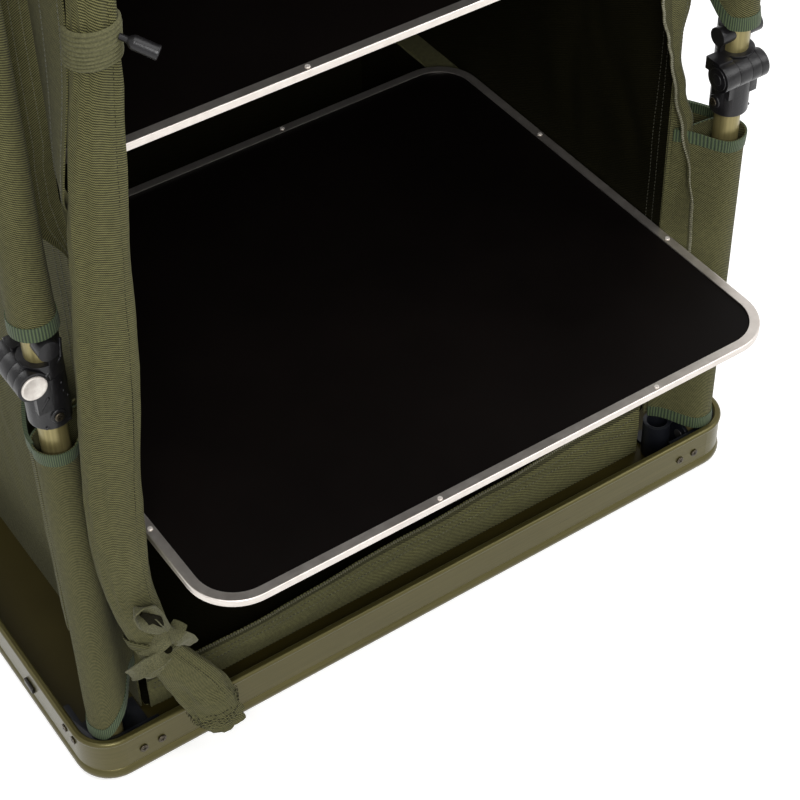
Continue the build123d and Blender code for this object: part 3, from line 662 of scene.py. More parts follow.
def cloth_piece(name, across, along, size, place, gauge=cloth_gauge):
    """a sheet laid out flat as a grid, moved point by point to place(u, v), then thickened"""
    bpy.ops.object.select_all(action="DESELECT")
    bpy.ops.mesh.primitive_grid_add(
        x_subdivisions=across, y_subdivisions=along, size=2, calc_uvs=True
    )
    sheet = bpy.context.object
    sheet.name = name
    marks = sheet.data.uv_layers.active.data
    for loop in sheet.data.loops:
        flat = sheet.data.vertices[loop.vertex_index].co
        marks[loop.index].uv = ((flat.x + 1) / 2 * size[0], (flat.y + 1) / 2 * size[1])
    for point in sheet.data.vertices:
        point.co = place((point.co.x + 1) / 2, (point.co.y + 1) / 2)
    if gauge:
        modified(sheet, "SOLIDIFY", thickness=gauge, offset=0)
    bpy.ops.object.shade_smooth_by_angle(angle=math.radians(50))
    return sheet


def rise(value, start, end):
    """0 before start, 1 after end and smooth between"""
    share = min(1, max(0, (value - start) / (end - start)))
    return share * share * (3 - 2 * share)


def between(value, start, full, wane, end):
    """0 outside start and end, 1 from full to wane"""
    return rise(value, start, full) * (1 - rise(value, wane, end))


def slack(a, b, seed):
    """folds of loose cloth, about -1 to 1: long waves that wander, with thin creases on them"""
    wander = 0.35 * noise.noise(Vector((a * 5, b * 5, seed)))
    wave = noise.noise(Vector((a * 11 + wander, b * 3 + wander, seed + 5)))
    crease = 1 - 4 * abs(noise.noise(Vector((a * 20 + wander * 2, b * 9 - a * 4, seed + 11))))
    ripple = noise.noise(Vector((a * 45, b * 30, seed + 17)))
    return 0.75 * wave + 0.22 * crease + 0.10 * ripple


wall_x, wall_front, wall_back = 0.23715, -0.2080, 0.2056
wall_foot, wall_head = 0.0045, 0.7440
loose_heights = (0.045, 0.10, 0.696, 0.738)
shelf_levels = (0.244, 0.508)
wall_seeds = {-1: 3.1, 1: 8.7}


def drawn_in(z):
    """1 below the tray's rim, where the cover is drawn in, and 0 above it"""
    return 1 - rise(z, 0.042, 0.054)


def near_shelf(z):
    """1 at a shelf's height and 0 well away from it"""
    return max(1 - rise(abs(z - level), 0.016, 0.050) for level in shelf_levels)


def side_wall_place(side):
    def place(u, v):
        z = wall_foot + v * (wall_head - wall_foot)
        y_front = wall_front + 0.0045 * drawn_in(z)
        y_back = wall_back - 0.0022 * drawn_in(z)
        y = y_front + u * (y_back - y_front)
        loose = between(u, 0, 0.07, 0.93, 1) * between(z, *loose_heights)
        fold = slack(y, z, wall_seeds[side])
        shelf = near_shelf(z)
        inward = (0.0055 * fold + 0.002) * (1 - shelf) + 0.0045 * max(0, fold) * shelf
        return (side * (wall_x + loose * inward), y, z)
    return place


wall_width, wall_length = wall_back - wall_front, wall_head - wall_foot
cover_sheets = [
    cloth_piece(name, 90, 150, (wall_width, wall_length), side_wall_place(side))
    for side, name in ((-1, "left_wall"), (1, "right_wall"))
]


def back_wall_place(u, v):
    z = wall_foot + 0.0017 + v * (wall_head - wall_foot - 0.0017)
    x = (2 * u - 1) * (wall_x - 0.0050 * drawn_in(z))
    loose = between(u, 0, 0.06, 0.94, 1) * between(z, *loose_heights)
    return (x, wall_back + loose * 0.0045 * max(0, 0.4 + slack(x, z, 21.3)), z)


back_wall = cloth_piece("back_wall", 100, 150, (2 * wall_x, wall_length), back_wall_place)
cover_sheets.append(back_wall)
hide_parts("cover_walls")
for wall in cover_sheets:
    dress(wall, cover_twill)
    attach(wall, "base")
# the walls' inner faces take the near-black coating, partly painted shade
for wall, towards in zip(cover_sheets, ((1, 0, 0), (-1, 0, 0), (0, -1, 0))):
    coat_inside_painted_shade(wall, towards)

# Cover floor and front lip. The floor lies on the tray's board. The lip stands up from it along
# the open front, droops a little between its ends, and carries the door zip along its top.
floor_z = 0.00485
floor_half, floor_front, floor_back = 0.2345, -0.2088, 0.2060
floor_size = (0.469, 0.4148)


def cover_floor_place(u, v):
    x = -floor_half + u * 2 * floor_half
    y = floor_front + v * (floor_back - floor_front)
    tuck = rise(abs(x), 0.225, floor_half)
    y = min(max(y, floor_front - 0.0002 + 0.0050 * tuck), floor_back - 0.0020 * tuck)
    inner = between(u, 0, 0.06, 0.94, 1) * between(v, 0, 0.06, 0.94, 1)
    return (x, y, floor_z + 0.0020 * max(0, slack(x, y, 33.0)) * inner)


cover_floor = cloth_piece("cover_base_sheet", 90, 80, floor_size, cover_floor_place)
dress(cover_floor, cover_twill)
# the floor's upper face takes the near-black coating, partly painted shade
coat_inside_painted_shade(cover_floor, (0, 0, 1))
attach(cover_floor, "base")
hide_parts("cover_floor")

lip_half, lip_y, lip_foot, lip_height = 0.2320, -0.20885, 0.0060, 0.0430


def lip_top(x):
    """height of the lip's upper edge, which is pulled up towards the right"""
    share = (x + lip_half) / (2 * lip_half)
    ends = between(share, 0, 0.05, 0.96, 1)
    pulled = 0.0225 * max(0, (x + 0.125) / 0.357) ** 1.05
    return 0.0412 - ends * (0.0006 + 0.0004 * math.sin(9.5 * share + 0.4)) + pulled


def lip_out(x, v):
    """how far the lip leans and waves across the front; its ends are sewn to the walls"""
    share = (x + lip_half) / (2 * lip_half)
    ends = between(share, 0, 0.08, 0.90, 1)
    wave = math.sin(15 * share + 1.3) + 0.6 * math.sin(31 * share + 0.2)
    return ends * v * 0.0006 * (wave + 1.4 * noise.noise(Vector((x * 26, v * 2, 4))))


def lip_place(u, v):
    x = -lip_half + u * 2 * lip_half
    z = lip_foot + v * (lip_top(x) - lip_foot)
    bow = 0.0014 * math.sin(math.pi * v) * noise.noise(Vector((x * 40, v * 3, 9)))
    return (x, lip_y + lip_out(x, v) + bow, z)


# a brighter copy of the cover twill: painted light on the lip, which catches light under the
# shelf's front
lip_twill_painted_light = twill("lip_twill_painted_light", (0.022, 0.0212, 0.0065), (0.250, 0.238, 0.102))
front_lip = cloth_piece("front_lip", 160, 20, (2 * lip_half, lip_height), lip_place)
dress(front_lip, lip_twill_painted_light)
# the lip's inner face takes the near-black coating, partly painted shade
coat_inside_painted_shade(front_lip, (0, 1, 0))
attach(front_lip, "base")
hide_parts("cover_front_lip")

# Front edges. Strips of the cover's twill run up both sides of the open front and are crossed by
# a valance under the lid. They are cut back at the knees; the right one flops inwards.
strip_y = -0.20885
strip_inner, strip_outer, knee_outer = 0.2340, 0.2558, 0.2376
strip_foot, strip_head = 0.0480, 0.7430


def strip_reach(z):
    """outer edge of a strip, cut back where the knee moves"""
    return strip_outer - (strip_outer - knee_outer) * between(z, 0.333, 0.343, 0.445, 0.483)


# the right strip's heights, with where it folds over, where its free edge hangs and how far that
# edge stands forward over the leg's sleeve
right_folds = (
    (0.048, 0.2463, 0.2555, 0.0), (0.140, 0.2463, 0.2555, 0.0), (0.205, 0.2432, 0.2500, 0.0180),
    (0.237, 0.2432, 0.2490, 0.0185), (0.271, 0.2436, 0.2478, 0.0175),
    (0.303, 0.2480, 0.2455, 0.0135), (0.339, 0.2540, 0.2410, 0.0060),
    (0.371, 0.2461, 0.2350, 0.0015), (0.403, 0.2388, 0.2290, 0.0), (0.420, 0.2382, 0.2245, 0.0),
    (0.445, 0.2420, 0.2172, 0.0), (0.457, 0.2425, 0.2145, 0.0), (0.500, 0.2448, 0.2390, 0.0),
    (0.540, 0.2463, 0.2555, 0.0), (0.743, 0.2463, 0.2555, 0.0),
)


def at_height(table, z):
    """the values of a table's columns at a height, smooth from row to row"""
    for lower, upper in zip(table[:-1], table[1:]):
        if z <= upper[0]:
            share = rise(z, lower[0], upper[0])
            return [low + share * (high - low) for low, high in zip(lower[1:], upper[1:])]
    return table[-1][1:]


def bowed(share, start, bend, end):
    """a point or number on the curve from start to end that leans towards bend"""
    return (1 - share) ** 2 * start + 2 * share * (1 - share) * bend + share * share * end


def strip_place(side):
    def place(u, v):
        z = strip_foot + v * (strip_head - strip_foot)
        at_shelf = 1 - rise(abs(z - shelf_levels[1]), 0.010, 0.030)
        ripple = 0.0009 * noise.noise(Vector((u * 1.5, z * 16, 3 + side)))
        y = strip_y + ripple * (1 - rise(z, 0.676, 0.706))
        if side < 0:
            root = strip_inner + 0.0036 * at_shelf
            return (-root - u * (strip_reach(z) - root), y, z)
        fold, edge, forward = at_height(right_folds, z)
        root = 0.2368 + 0.0014 * at_shelf
        x = bowed(u, root, 2 * fold - (root + edge) / 2, edge)
        out = (0.0008 + 0.10 * max(0, strip_outer - edge)) * rise(u, 0.1, 0.9) + forward * u
        return (x, y - out, z)
    return place


strip_width, strip_length = strip_outer - strip_inner, 0.695
for side, name in ((-1, "left_edge"), (1, "right_edge")):
    strip = cloth_piece(name, 14, 190, (strip_width, strip_length), strip_place(side))
    dress(strip, cover_twill)
    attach(strip, "base")

valance_half, valance_head = 0.2560, 0.7440
valance_size = (0.512, 0.038)


def valance_place(u, v):
    x = -valance_half + u * 2 * valance_half
    foot = 0.7060 + 0.0016 * math.sin(20 * u) + 0.0008 * math.sin(47 * u + 1)
    z = foot + v * (valance_head - foot)
    wave = 0.0012 * math.sin(26 * u + 0.6) + 0.0016 * noise.noise(Vector((x * 18, z * 8, 2)))
    return (x, strip_y - 0.0006 + (1 - v) * wave, z)


valance = cloth_piece("door_valance", 160, 16, valance_size, valance_place)
dress(valance, cover_twill)
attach(valance, "base")
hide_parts("cover_front_edges")


# Stitching. Each seam has two rows of bonded olive thread, 7 mm apart, in stitches 2.4 mm long
# that sink a little into the cloth. One stitch is modelled and copied along every row.
thread_olive = mottled(
    "thread_olive", 0.0, 0.6, (1900, 2), (0.034, 0.036, 0.018), (0.085, 0.085, 0.045),
    bump=(0.0002, 0.4), Sheen_Weight=0.2,
)
# a near-black copy of the thread for the rows inside the walls: painted shade of the cupboard's
# dim inside
thread_painted_shade = mottled(
    "thread_painted_shade", 0.0, 0.7, (1900, 2), (0.010, 0.0095, 0.004), (0.030, 0.028, 0.012)
)
stitch_length, stitch_gap, stitch_radius, stitch_rise = 0.0024, 0.0009, 0.00034, 0.0001


def as_pattern(piece):
    """a small mesh's points and faces, which are copied along lines; the piece itself goes"""
    points = [point.co.copy() for point in piece.data.vertices]
    faces = [tuple(face.vertices) for face in piece.data.polygons]
    bpy.data.objects.remove(piece)
    return points, faces


def stitch_pattern():
    """one stitch along +X: a short thread that dips at both ends"""
    bpy.ops.object.select_all(action="DESELECT")
    bpy.ops.mesh.primitive_cylinder_add(
        vertices=6, radius=stitch_radius, depth=stitch_length, rotation=(0, math.pi / 2, 0)
    )
    stitch = bpy.context.object
    apply_place(stitch)
    bpy.ops.object.mode_set(mode="EDIT")
    bpy.ops.mesh.select_all(action="SELECT")
    bpy.ops.mesh.subdivide(number_cuts=1)
    bpy.ops.object.mode_set(mode="OBJECT")
    for point in stitch.data.vertices:
        end = abs(point.co.x) / (stitch_length / 2)
        point.co.y *= 1 - 0.45 * end ** 3
        point.co.z = point.co.z * (1 - 0.45 * end ** 3) - 0.00022 * end ** 3 + stitch_rise
    return as_pattern(stitch)


def copies_along(name, pattern, rows, first, pitch, axes):
    """a pattern copied at an even pitch along rows of points; what follows each point in its row
    gives, with axes, the copy's across and up directions and whether it is mirrored"""
    points, faces = [], []
    for row in rows:
        travelled, wanted = 0.0, first
        for (here, *facing), (there, *_) in zip(row[:-1], row[1:]):
            length = (there - here).length
            if length < 1e-7:
                continue
            along = (there - here) / length
            across, up, mirrored = axes(along, *facing)
            while wanted <= travelled + length:
                middle = here + along * (wanted - travelled)
                base = len(points)
                points += [middle + along * p.x + across * p.y + up * p.z for p in pattern[0]]
                for face in pattern[1]:
                    order = reversed(face) if mirrored else face
                    faces.append(tuple(base + index for index in order))
                wanted += pitch
            travelled += length
    mesh = bpy.data.meshes.new(name)
    mesh.from_pydata(points, [], faces)
    made = bpy.data.objects.new(name, mesh)
    bpy.context.scene.collection.objects.link(made)
    return made


def stitch_axes(along, outward):
    up = (outward - along * along.dot(outward)).normalized()
    return up.cross(along), up, False


stitch = stitch_pattern()


def stitch_rows(name, rows, thread):
    """stitches along rows of (point, outward)"""
    first, pitch = stitch_length / 2, stitch_length + stitch_gap
    seams = copies_along(name, stitch, rows, first, pitch, stitch_axes)
    for face in seams.data.polygons:
        face.use_smooth = True
    dress(seams, thread)
    return seams


def run(place, fixed, start, end, steps, outward, lift, along_v=True):
    """points of a seam on a sheet: one of u and v fixed, the other from start to end"""
    points = []
    for number in range(steps + 1):
        share = start + (end - start) * number / steps
        at = Vector(place(fixed, share) if along_v else place(share, fixed))
        points.append((at + Vector(outward) * lift, Vector(outward)))
    return points


seam_lift = cloth_gauge / 2 + 0.0001
# start, end and steps of every row on the walls
wall_seam = (0.075, 0.97, 220)
wall_rows, inner_rows = [], []
for side in (-1, 1):
    place = side_wall_place(side)
    for u in (0.022, 0.039, 0.965, 0.982):
        wall_rows.append(run(place, u, *wall_seam, (side, 0, 0), seam_lift))
        if u < 0.5:
            inner_rows.append(run(place, u, *wall_seam, (-side, 0, 0), seam_lift))
for u in (0.018, 0.033, 0.967, 0.982):
    wall_rows.append(run(back_wall_place, u, *wall_seam, (0, 1, 0), seam_lift))
edge_rows = []
for side in (-1, 1):
    for u in (0.34, 0.62):
        edge_rows.append(run(strip_place(side), u, 0.01, 0.99, 240, (0, -1, 0), seam_lift))
for place, v in (
    (valance_place, 0.12), (valance_place, 0.30), (lip_place, 0.55), (lip_place, 0.72)
):
    edge_rows.append(run(place, v, 0.01, 0.99, 200, (0, -1, 0), seam_lift, along_v=False))
for name, rows, thread in (
    ("wall_seams", wall_rows, thread_olive),
    ("inner_seams", inner_rows, thread_painted_shade),
    ("edge_seams", edge_rows, thread_olive),
):
    seams = stitch_rows(name, rows, thread)
    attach(seams, "base")

# Door zip, the half that stays on the cover. A coil of dark nylon teeth on a narrow ribbed tape
# runs along the lip's top edge and up the outer edge of the right strip.
zip_nylon = mottled(
    "zip_nylon", 0.0, 0.38, (800, 2), (0.100, 0.094, 0.056), (0.215, 0.205, 0.135),
    bump=(0.0001, 0.3),
)
tape_weave = twill("zip_tape_weave", (0.022, 0.021, 0.008), (0.096, 0.091, 0.040))
tooth_pitch, tape_width, tape_gauge, tape_gap = 0.0019, 0.005, 0.0005, 0.0003


def tooth_pattern():
    """one turn of the coil: a rounded block, +X along the chain, +Y to the opening, +Z outwards"""
    bpy.ops.object.select_all(action="DESELECT")
    bpy.ops.mesh.primitive_cube_add(size=1)
    tooth = bpy.context.object
    tooth.scale = (0.0011, 0.0023, 0.0013)
    apply_place(tooth)
    bpy.ops.object.mode_set(mode="EDIT")
    bpy.ops.mesh.select_all(action="SELECT")
    bpy.ops.mesh.bevel(offset=0.00035, segments=1, affect="EDGES")
    bpy.ops.object.mode_set(mode="OBJECT")
    return as_pattern(tooth)


def tooth_axes(along, outward, opening):
    across = (opening - along * along.dot(opening)).normalized()
    up = along.cross(across)
    mirrored = up.dot(outward) < 0
    return across, -up if mirrored else up, mirrored


def lip_tape_place(u, v):
    x, y, z = lip_place(u, 0.86 + 0.14 * v)
    return (x, y - cloth_gauge / 2 - tape_gap, z + tape_gap)


def strip_tape_place(u, v):
    x, y, z = strip_place(1)(0.90 + 0.10 * u, v)
    return (x - 0.0002, y - cloth_gauge / 2 - tape_gap, z)


lip_size, lip_tape_size = (2 * lip_half, lip_height), (2 * lip_half, tape_width)
strip_size, strip_tape_size = (strip_width, strip_length), (tape_width, strip_length)
lip_tape = cloth_piece("lip_zip_tape", 160, 4, lip_tape_size, lip_tape_place, tape_gauge)
strip_tape = cloth_piece("edge_zip_tape", 4, 190, strip_tape_size, strip_tape_place, tape_gauge)
for tape in (lip_tape, strip_tape):
    dress(tape, tape_weave)
    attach(tape, "base")
forward = Vector((0, -1, 0))
lip_line, edge_line = [], []
for number in range(201):
    at = Vector(lip_tape_place(number / 200, 1))
    lip_line.append((at + Vector((0, -0.0006, 0.0002)), forward, Vector((0, 0, 1))))
for number in range(241):
    at = Vector(strip_tape_place(1, number / 240))
    opening = (at - Vector(strip_tape_place(0.5, number / 240))).normalized()
    edge_line.append((at + forward * 0.0006, forward, opening))
zip_teeth = copies_along(
    "zip_teeth", tooth_pattern(), [lip_line, edge_line], 0.0, tooth_pitch, tooth_axes
)
dress(zip_teeth, zip_nylon)
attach(zip_teeth, "base")
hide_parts("door_zip")

# Shelf supports. Flat webbing pockets sewn along the side walls, which the shelves slide on,
# stiffened with a strip of board.
support_tops = (0.2411, 0.5057)
support_inner, support_width, support_half = 0.2154, 0.0209, 0.1900
support_gauge = 0.0026
for number, top in enumerate(support_tops):
    for side in (-1, 1):
        bpy.ops.object.select_all(action="DESELECT")
        bpy.ops.mesh.primitive_grid_add(
            x_subdivisions=10, y_subdivisions=90, size=2, calc_uvs=True
        )
        band = bpy.context.object
        band.name = "shelf_support_%s_%d" % ("left" if side < 0 else "right", number + 1)
        marks = band.data.uv_layers.active.data
        for loop in band.data.loops:
            flat = band.data.vertices[loop.vertex_index].co
            marks[loop.index].uv = (flat.x * 0.0105, flat.y * support_half)
        for point in band.data.vertices:
            across, y = (point.co.x + 1) / 2, point.co.y * support_half
            quilt = 0.0003 * noise.noise(Vector((across * 3, y * 60, 6 + number)))
            x = side * (support_inner + across * support_width)
            point.co = (x, y, top - 0.0015 + quilt - 0.0003 * across)
        modified(band, "SOLIDIFY", thickness=support_gauge, offset=0)
        modified(band, "BEVEL", width=0.0008, segments=2, limit_method="ANGLE")
        bpy.ops.object.shade_smooth_by_angle(angle=math.radians(50))
        dress(band, cover_twill)
        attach(band, "base")
        if number == 0 and side < 0:
            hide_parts("shelf_ledges")


# Leg sleeves. Pockets of the cover's twill that hold the legs at the corners: round the tube in
# front, drawn to a flat fin towards the cover, with green ribbed tape round both open ends.
binding_tape, binding_shader = surface(
    "binding_tape", 0.0, 0.8, Sheen_Weight=0.05, Sheen_Roughness=0.5
)
binding_uv = node(binding_tape, "UVMap", uv_map="UVMap").outputs["UV"]
binding_ribs = ribs(binding_tape, binding_uv, 0.0019, "X", 0.5, 1, 50)
binding_mix = mixed(binding_tape, 0.35, binding_ribs, speckle(binding_tape, binding_uv, 420, 4))
binding_tone = colours(
    binding_tape, binding_mix, (0.009, 0.019, 0.006), (0.062, 0.090, 0.036), 0.3, 0.7
)
link(binding_tape, binding_tone, binding_shader.inputs["Base Color"])
relief(binding_tape, binding_shader, binding_mix, 0.0005, 0.6)

sleeve_radius, fin_half = 0.0145, 0.0013
sleeve_gauge, binding_gauge, binding_height = 0.0011, 0.0009, 0.0105


def sleeve_section(share, tip, radius):
    """a point of the sleeve's teardrop section in the leg's own frame, from its fin tip round
    the tube and back; tip is the fin's (x, y)"""
    reach = math.hypot(*tip)
    lean = math.atan2(tip[1], tip[0])
    angle = 2 * math.pi * share
    around = angle if angle <= math.pi else angle - 2 * math.pi
    side = 1 if around >= 0 else -1
    turned = abs(around)
    if turned >= math.pi / 2:
        x, y = radius * math.cos(turned), radius * math.sin(turned)
    else:
        out = 1 - turned / (math.pi / 2)
        pinch = 1 + 0.9 * max(0, reach / radius - 1)
        x = radius * math.sin(out * math.pi / 2) + (reach - radius) * out ** 1.5
        y = fin_half + (radius - fin_half) * math.cos(out * math.pi / 2) ** pinch
        y *= min(1, (1 - out) / 0.06) ** 0.5 if out > 0.94 else 1
    y *= side
    cosine, sine = math.cos(lean), math.sin(lean)
    return x * cosine - y * sine, x * sine + y * cosine


def sleeve_place(leg, foot, head, tip_foot, tip_head, rise_foot, rise_head, seed, stand=0.0):
    """surface of a sleeve between two heights; its ends rise or drop towards the fin"""
    frame_of_leg = at_leg(leg)

    def place(u, v):
        fin = max(0, math.cos(2 * math.pi * u)) ** 1.6
        low = foot + rise_foot * fin
        if leg == "front_left" and foot < 0.1:
            x, y = sleeve_section(u, tip_foot, sleeve_radius)
            low = foot + 0.024 * rise(0.94 * x - 0.35 * y, -0.006, 0.018) + 0.004 * fin
        high = head + rise_head * fin
        z = low + v * (high - low)
        level = min(1, max(0, (z - foot) / (head - foot)))
        tip = tuple(a + (b - a) * level for a, b in zip(tip_foot, tip_head))
        away = between(v, 0, 0.03, 0.97, 1)
        swell = 0.0011 * slack(u * 0.10 + 0.3, z, seed) * away
        mouth = 0.0008 * (1 - rise(v, 0, 0.05)) + 0.0008 * rise(v, 0.95, 1)
        x, y = sleeve_section(u, tip, sleeve_radius + swell + mouth + stand)
        crumple = 0.0013 * slack(z * 1.4, u * 0.3, seed + 40) * away
        crumple *= max(0, math.cos(2 * math.pi * u)) * (1 - fin ** 3)
        return frame_of_leg @ Vector((x, y + crumple, z))
    return place


def closed_round(piece):
    """welds the two edges of a sheet that meet all the way up"""
    alone(piece)
    bpy.ops.object.mode_set(mode="EDIT")
    bpy.ops.mesh.select_all(action="SELECT")
    bpy.ops.mesh.remove_doubles(threshold=0.00002)
    bpy.ops.mesh.normals_make_consistent(inside=False)
    bpy.ops.object.mode_set(mode="OBJECT")


def round_cloth(name, across, along, size, place, gauge):
    """a cloth tube: laid out flat, wrapped round, welded, then given its thickness inwards"""
    tube = cloth_piece(name, across, along, size, place, gauge=None)
    closed_round(tube)
    modified(tube, "SOLIDIFY", thickness=gauge, offset=-1)
    bpy.ops.object.shade_smooth_by_angle(angle=math.radians(50))
    return tube


def sleeve_girth(tip):
    around = [Vector((*sleeve_section(step / 96, tip, sleeve_radius), 0)) for step in range(97)]
    return sum((b - a).length for a, b in zip(around[:-1], around[1:]))


for number, leg in enumerate(legs):
    corner_tip = (0.0176, 0.0345) if leg_turns[leg] in (90, 270) else (0.0345, 0.0176)
    upper_tip, short_tip = (0.0255, 0.0150), (0.0180, 0.0130)
    if leg == "front_left":
        upper_tip = short_tip = (0.0045, 0.0140)
    lower_rise, upper_rise = (0.0050, 0.0190) if leg == "front_right" else (0.0265, 0.0120)
    halves = (
        ("lower", 0.0405, 0.3325, corner_tip, corner_tip, lower_rise, 0.004),
        ("upper", 0.4285, 0.7475, upper_tip, short_tip, upper_rise, -0.014),
    )
    for half, foot, head, tip_foot, tip_head, rise_foot, rise_head in halves:
        cad = leg + "_" + half + "_sleeve"
        seed = 50 + 7 * number + (3 if half == "upper" else 0)
        drape = (leg, foot, head, tip_foot, tip_head, rise_foot, rise_head, seed)
        size = girth, length = sleeve_girth(tip_foot), head - foot
        sleeve = round_cloth(cad + "_cloth", 72, 110, size, sleeve_place(*drape), sleeve_gauge)
        dress(sleeve, cover_twill)
        taped, tapes, share = sleeve_place(*drape, 0.0006), [], binding_height / length
        for name, start in (("foot", -0.0015), ("head", 1.0015 - share)):
            tape = round_cloth(
                cad + "_" + name + "_binding", 72, 6, (girth, binding_height),
                lambda u, v: taped(u, start + v * share), binding_gauge,
            )
            dress(tape, binding_tape)
            tapes.append(tape)
        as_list(tapes)
        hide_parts(cad)
        for piece in [sleeve] + tapes:
            if half == "upper":
                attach(piece, leg + "_upper_leg")
            else:
                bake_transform(piece)

# Side gussets. Where a lower sleeve meets the cover, its twill runs on past the tube and back to
# the side wall, bound along the top; the lower edge rises towards the wall.
gusset_head, gusset_reach = 0.3325, 0.0920
gusset_size = (0.098, 0.165)


def gusset_place(leg):
    x_side, y_side = leg_corners[leg]
    seed = 90 + 5 * legs.index(leg)
    wall_at = side_wall_place(x_side)
    end_y = pole_y - gusset_reach
    along_wall = (y_side * end_y - wall_front) / (wall_back - wall_front)

    def place(u, v):
        low = 0.150 + 0.030 * u
        z = low + v * (gusset_head - low)
        end_x = abs(wall_at(along_wall, (z - wall_foot) / (wall_head - wall_foot))[0]) + 0.0014
        x = bowed(u, pole_x + 0.0140, pole_x + 0.0135, end_x)
        y = bowed(u, pole_y - 0.0040, pole_y - 0.0300, end_y)
        sag = 0.0022 * slack(u * 0.09, z, seed) * between(u, 0, 0.25, 0.85, 1)
        return (x_side * (x + sag), y_side * (y + 0.4 * sag), z)
    return place


for leg in legs:
    x_side, y_side = leg_corners[leg]
    surface_at = gusset_place(leg)
    gusset = cloth_piece(leg + "_gusset", 40, 60, gusset_size, surface_at, 0.0011)
    dress(gusset, cover_twill)
    tape = cloth_piece(
        leg + "_gusset_binding", 60, 5, (0.098, 0.008),
        lambda u, v: Vector(surface_at(u, 1 - (1 - v) * 0.048)) + Vector((0, 0, 0.0006)), 0.0026,
    )
    dress(tape, binding_tape)
    start = Vector((x_side * wall_x, y_side * (pole_y - 0.0900), 0.2))
    for piece in (gusset, tape):
        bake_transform(piece)
        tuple(start)
    sleeve = leg + "_lower_sleeve_cloth"

# Shelves. Each is a thin board, laminated satin black, held in the groove of a mitre-less frame:
# one satin aluminium channel bent round four corners, with small rivets through its lip.
shelf_satin = mottled(
    "shelf_satin", 0.0, 0.5, (7, 4), (0.0020, 0.0014, 0.0012), (0.0030, 0.0021, 0.0018),
    gloss=(0.42, 0.56), grain=(1100, 3), bump=(0.00006, 0.35), Specular_IOR_Level=0.07,
)
frame_aluminium, aluminium_shader = surface("frame_aluminium", 0.9, 0.34, Anisotropic=0.2)
draw_lines = speckle(frame_aluminium, place_in(frame_aluminium, (4, 4, 900)), 3, 4, 0.7)
draw_cloud = speckle(frame_aluminium, place_in(frame_aluminium), 120, 4)
drawn = mixed(frame_aluminium, 0.4, draw_lines, draw_cloud)
aluminium_tone = colours(frame_aluminium, drawn, (0.56, 0.51, 0.465), (0.72, 0.67, 0.62))
aluminium_gloss = spread(frame_aluminium, draw_cloud, 0.26, 0.42)
link(frame_aluminium, aluminium_tone, aluminium_shader.inputs["Base Color"])
link(frame_aluminium, aluminium_gloss, aluminium_shader.inputs["Roughness"])
relief(frame_aluminium, aluminium_shader, drawn, 0.00008, 0.35)
for shelf in ("lower_shelf", "upper_shelf"):
    dress(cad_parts[shelf + "_board"], shelf_satin)
    dress(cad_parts[shelf + "_frame"], frame_aluminium)
    dress(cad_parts[shelf + "_rivets"], cap_nickel)

# Rolled door. The front panel of twill, unzipped and wound round itself eight and a half times,
# hangs at the left. It is slack between its two ties, and its hemmed layers show at both ends.
roll_sections = (
    (-0.213, -0.2230, 0.738, 0.0140, 0.0124), (-0.217, -0.2460, 0.690, 0.0140, 0.0120),
    (-0.225, -0.2620, 0.630, 0.0145, 0.0120), (-0.237, -0.2635, 0.531, 0.0190, 0.0130),
    (-0.249, -0.2635, 0.381, 0.0210, 0.0130), (-0.258, -0.2635, 0.239, 0.0195, 0.0130),
    (-0.2438, -0.2635, 0.1468, 0.0155, 0.0125), (-0.2185, -0.2655, 0.090, 0.0205, 0.0145),
    (-0.2000, -0.2675, 0.030, 0.0190, 0.0150),
)


def smooth_from(share, start, end, leaving, arriving):
    """the cubic from start to end, numbers or points, with its slopes at both"""
    a, b = share * share, share ** 3
    return (
        (2 * b - 3 * a + 1) * start + (b - 2 * a + share) * leaving
        + (3 * a - 2 * b) * end + (b - a) * arriving
    )


def roll_at(z):
    """middle and half sizes of the roll at a height, on a smooth line through its sections"""
    heights = [section[2] for section in roll_sections]
    z = min(heights[0], max(heights[-1], z))
    last = len(roll_sections) - 1
    index = next(i for i in range(last) if heights[i + 1] <= z)
    before, upper = roll_sections[max(0, index - 1)], roll_sections[index]
    lower, after = roll_sections[index + 1], roll_sections[min(last, index + 2)]
    drop = upper[2] - lower[2]
    values = []
    for part in (0, 1, 3, 4):
        leaving = (lower[part] - before[part]) / max(1e-6, before[2] - lower[2]) * drop
        arriving = (after[part] - upper[part]) / max(1e-6, upper[2] - after[2]) * drop
        share = (upper[2] - z) / drop
        values.append(smooth_from(share, upper[part], lower[part], leaving, arriving))
    return values


roll_turns, roll_core, roll_foot, roll_head = 8.5, 0.16, 0.0300, 0.7375
roll_end = math.radians(-32)
roll_size = (0.46, roll_head - roll_foot)
tie_heights = (0.6302, 0.1500)


def roll_crumple(angle, z):
    """how the wound cloth swells and creases round its girth, the same for every layer"""
    def noise_at(size, height):
        return noise.noise(Vector((math.cos(angle) * size, math.sin(angle) * size, height)))

    swell = 0.10 * noise_at(1.1, z * 7) + 0.05 * (1 - 4 * abs(noise_at(2.4, z * 16 + 4)))
    pleat = 0.070 * math.sin(11 * angle + 3 * math.sin(2 * angle))
    swell += pleat * sum(math.exp(-((z - height) / 0.022) ** 2) for height in tie_heights)
    foot = 0.22 * noise_at(2.3, z * 34 + 9) + 0.06 * (1 - 4 * abs(noise_at(2.8, z * 28)))
    return 1 + swell + (1 - rise(z, 0.060, 0.130)) * foot


def roll_point(turn_share, z, stand=0.0):
    """a point of the spiral at its share from core to free edge"""
    x, y, half_width, half_depth = roll_at(z)
    angle = roll_end + (turn_share - 1) * roll_turns * 2 * math.pi
    out = (roll_core + (1 - roll_core) * turn_share) * roll_crumple(angle, z)
    x += (out * (half_width - 0.0012) + stand) * math.cos(angle)
    y += (out * (half_depth - 0.0012) + stand) * math.sin(angle)
    return Vector((x, y, z))


def roll_hem(share):
    """height of the roll's lower edge, whose layers have slid past each other"""
    return roll_foot + 0.017 * share ** 3 + 0.0045 * math.sin(7 * share * math.pi + 0.6)


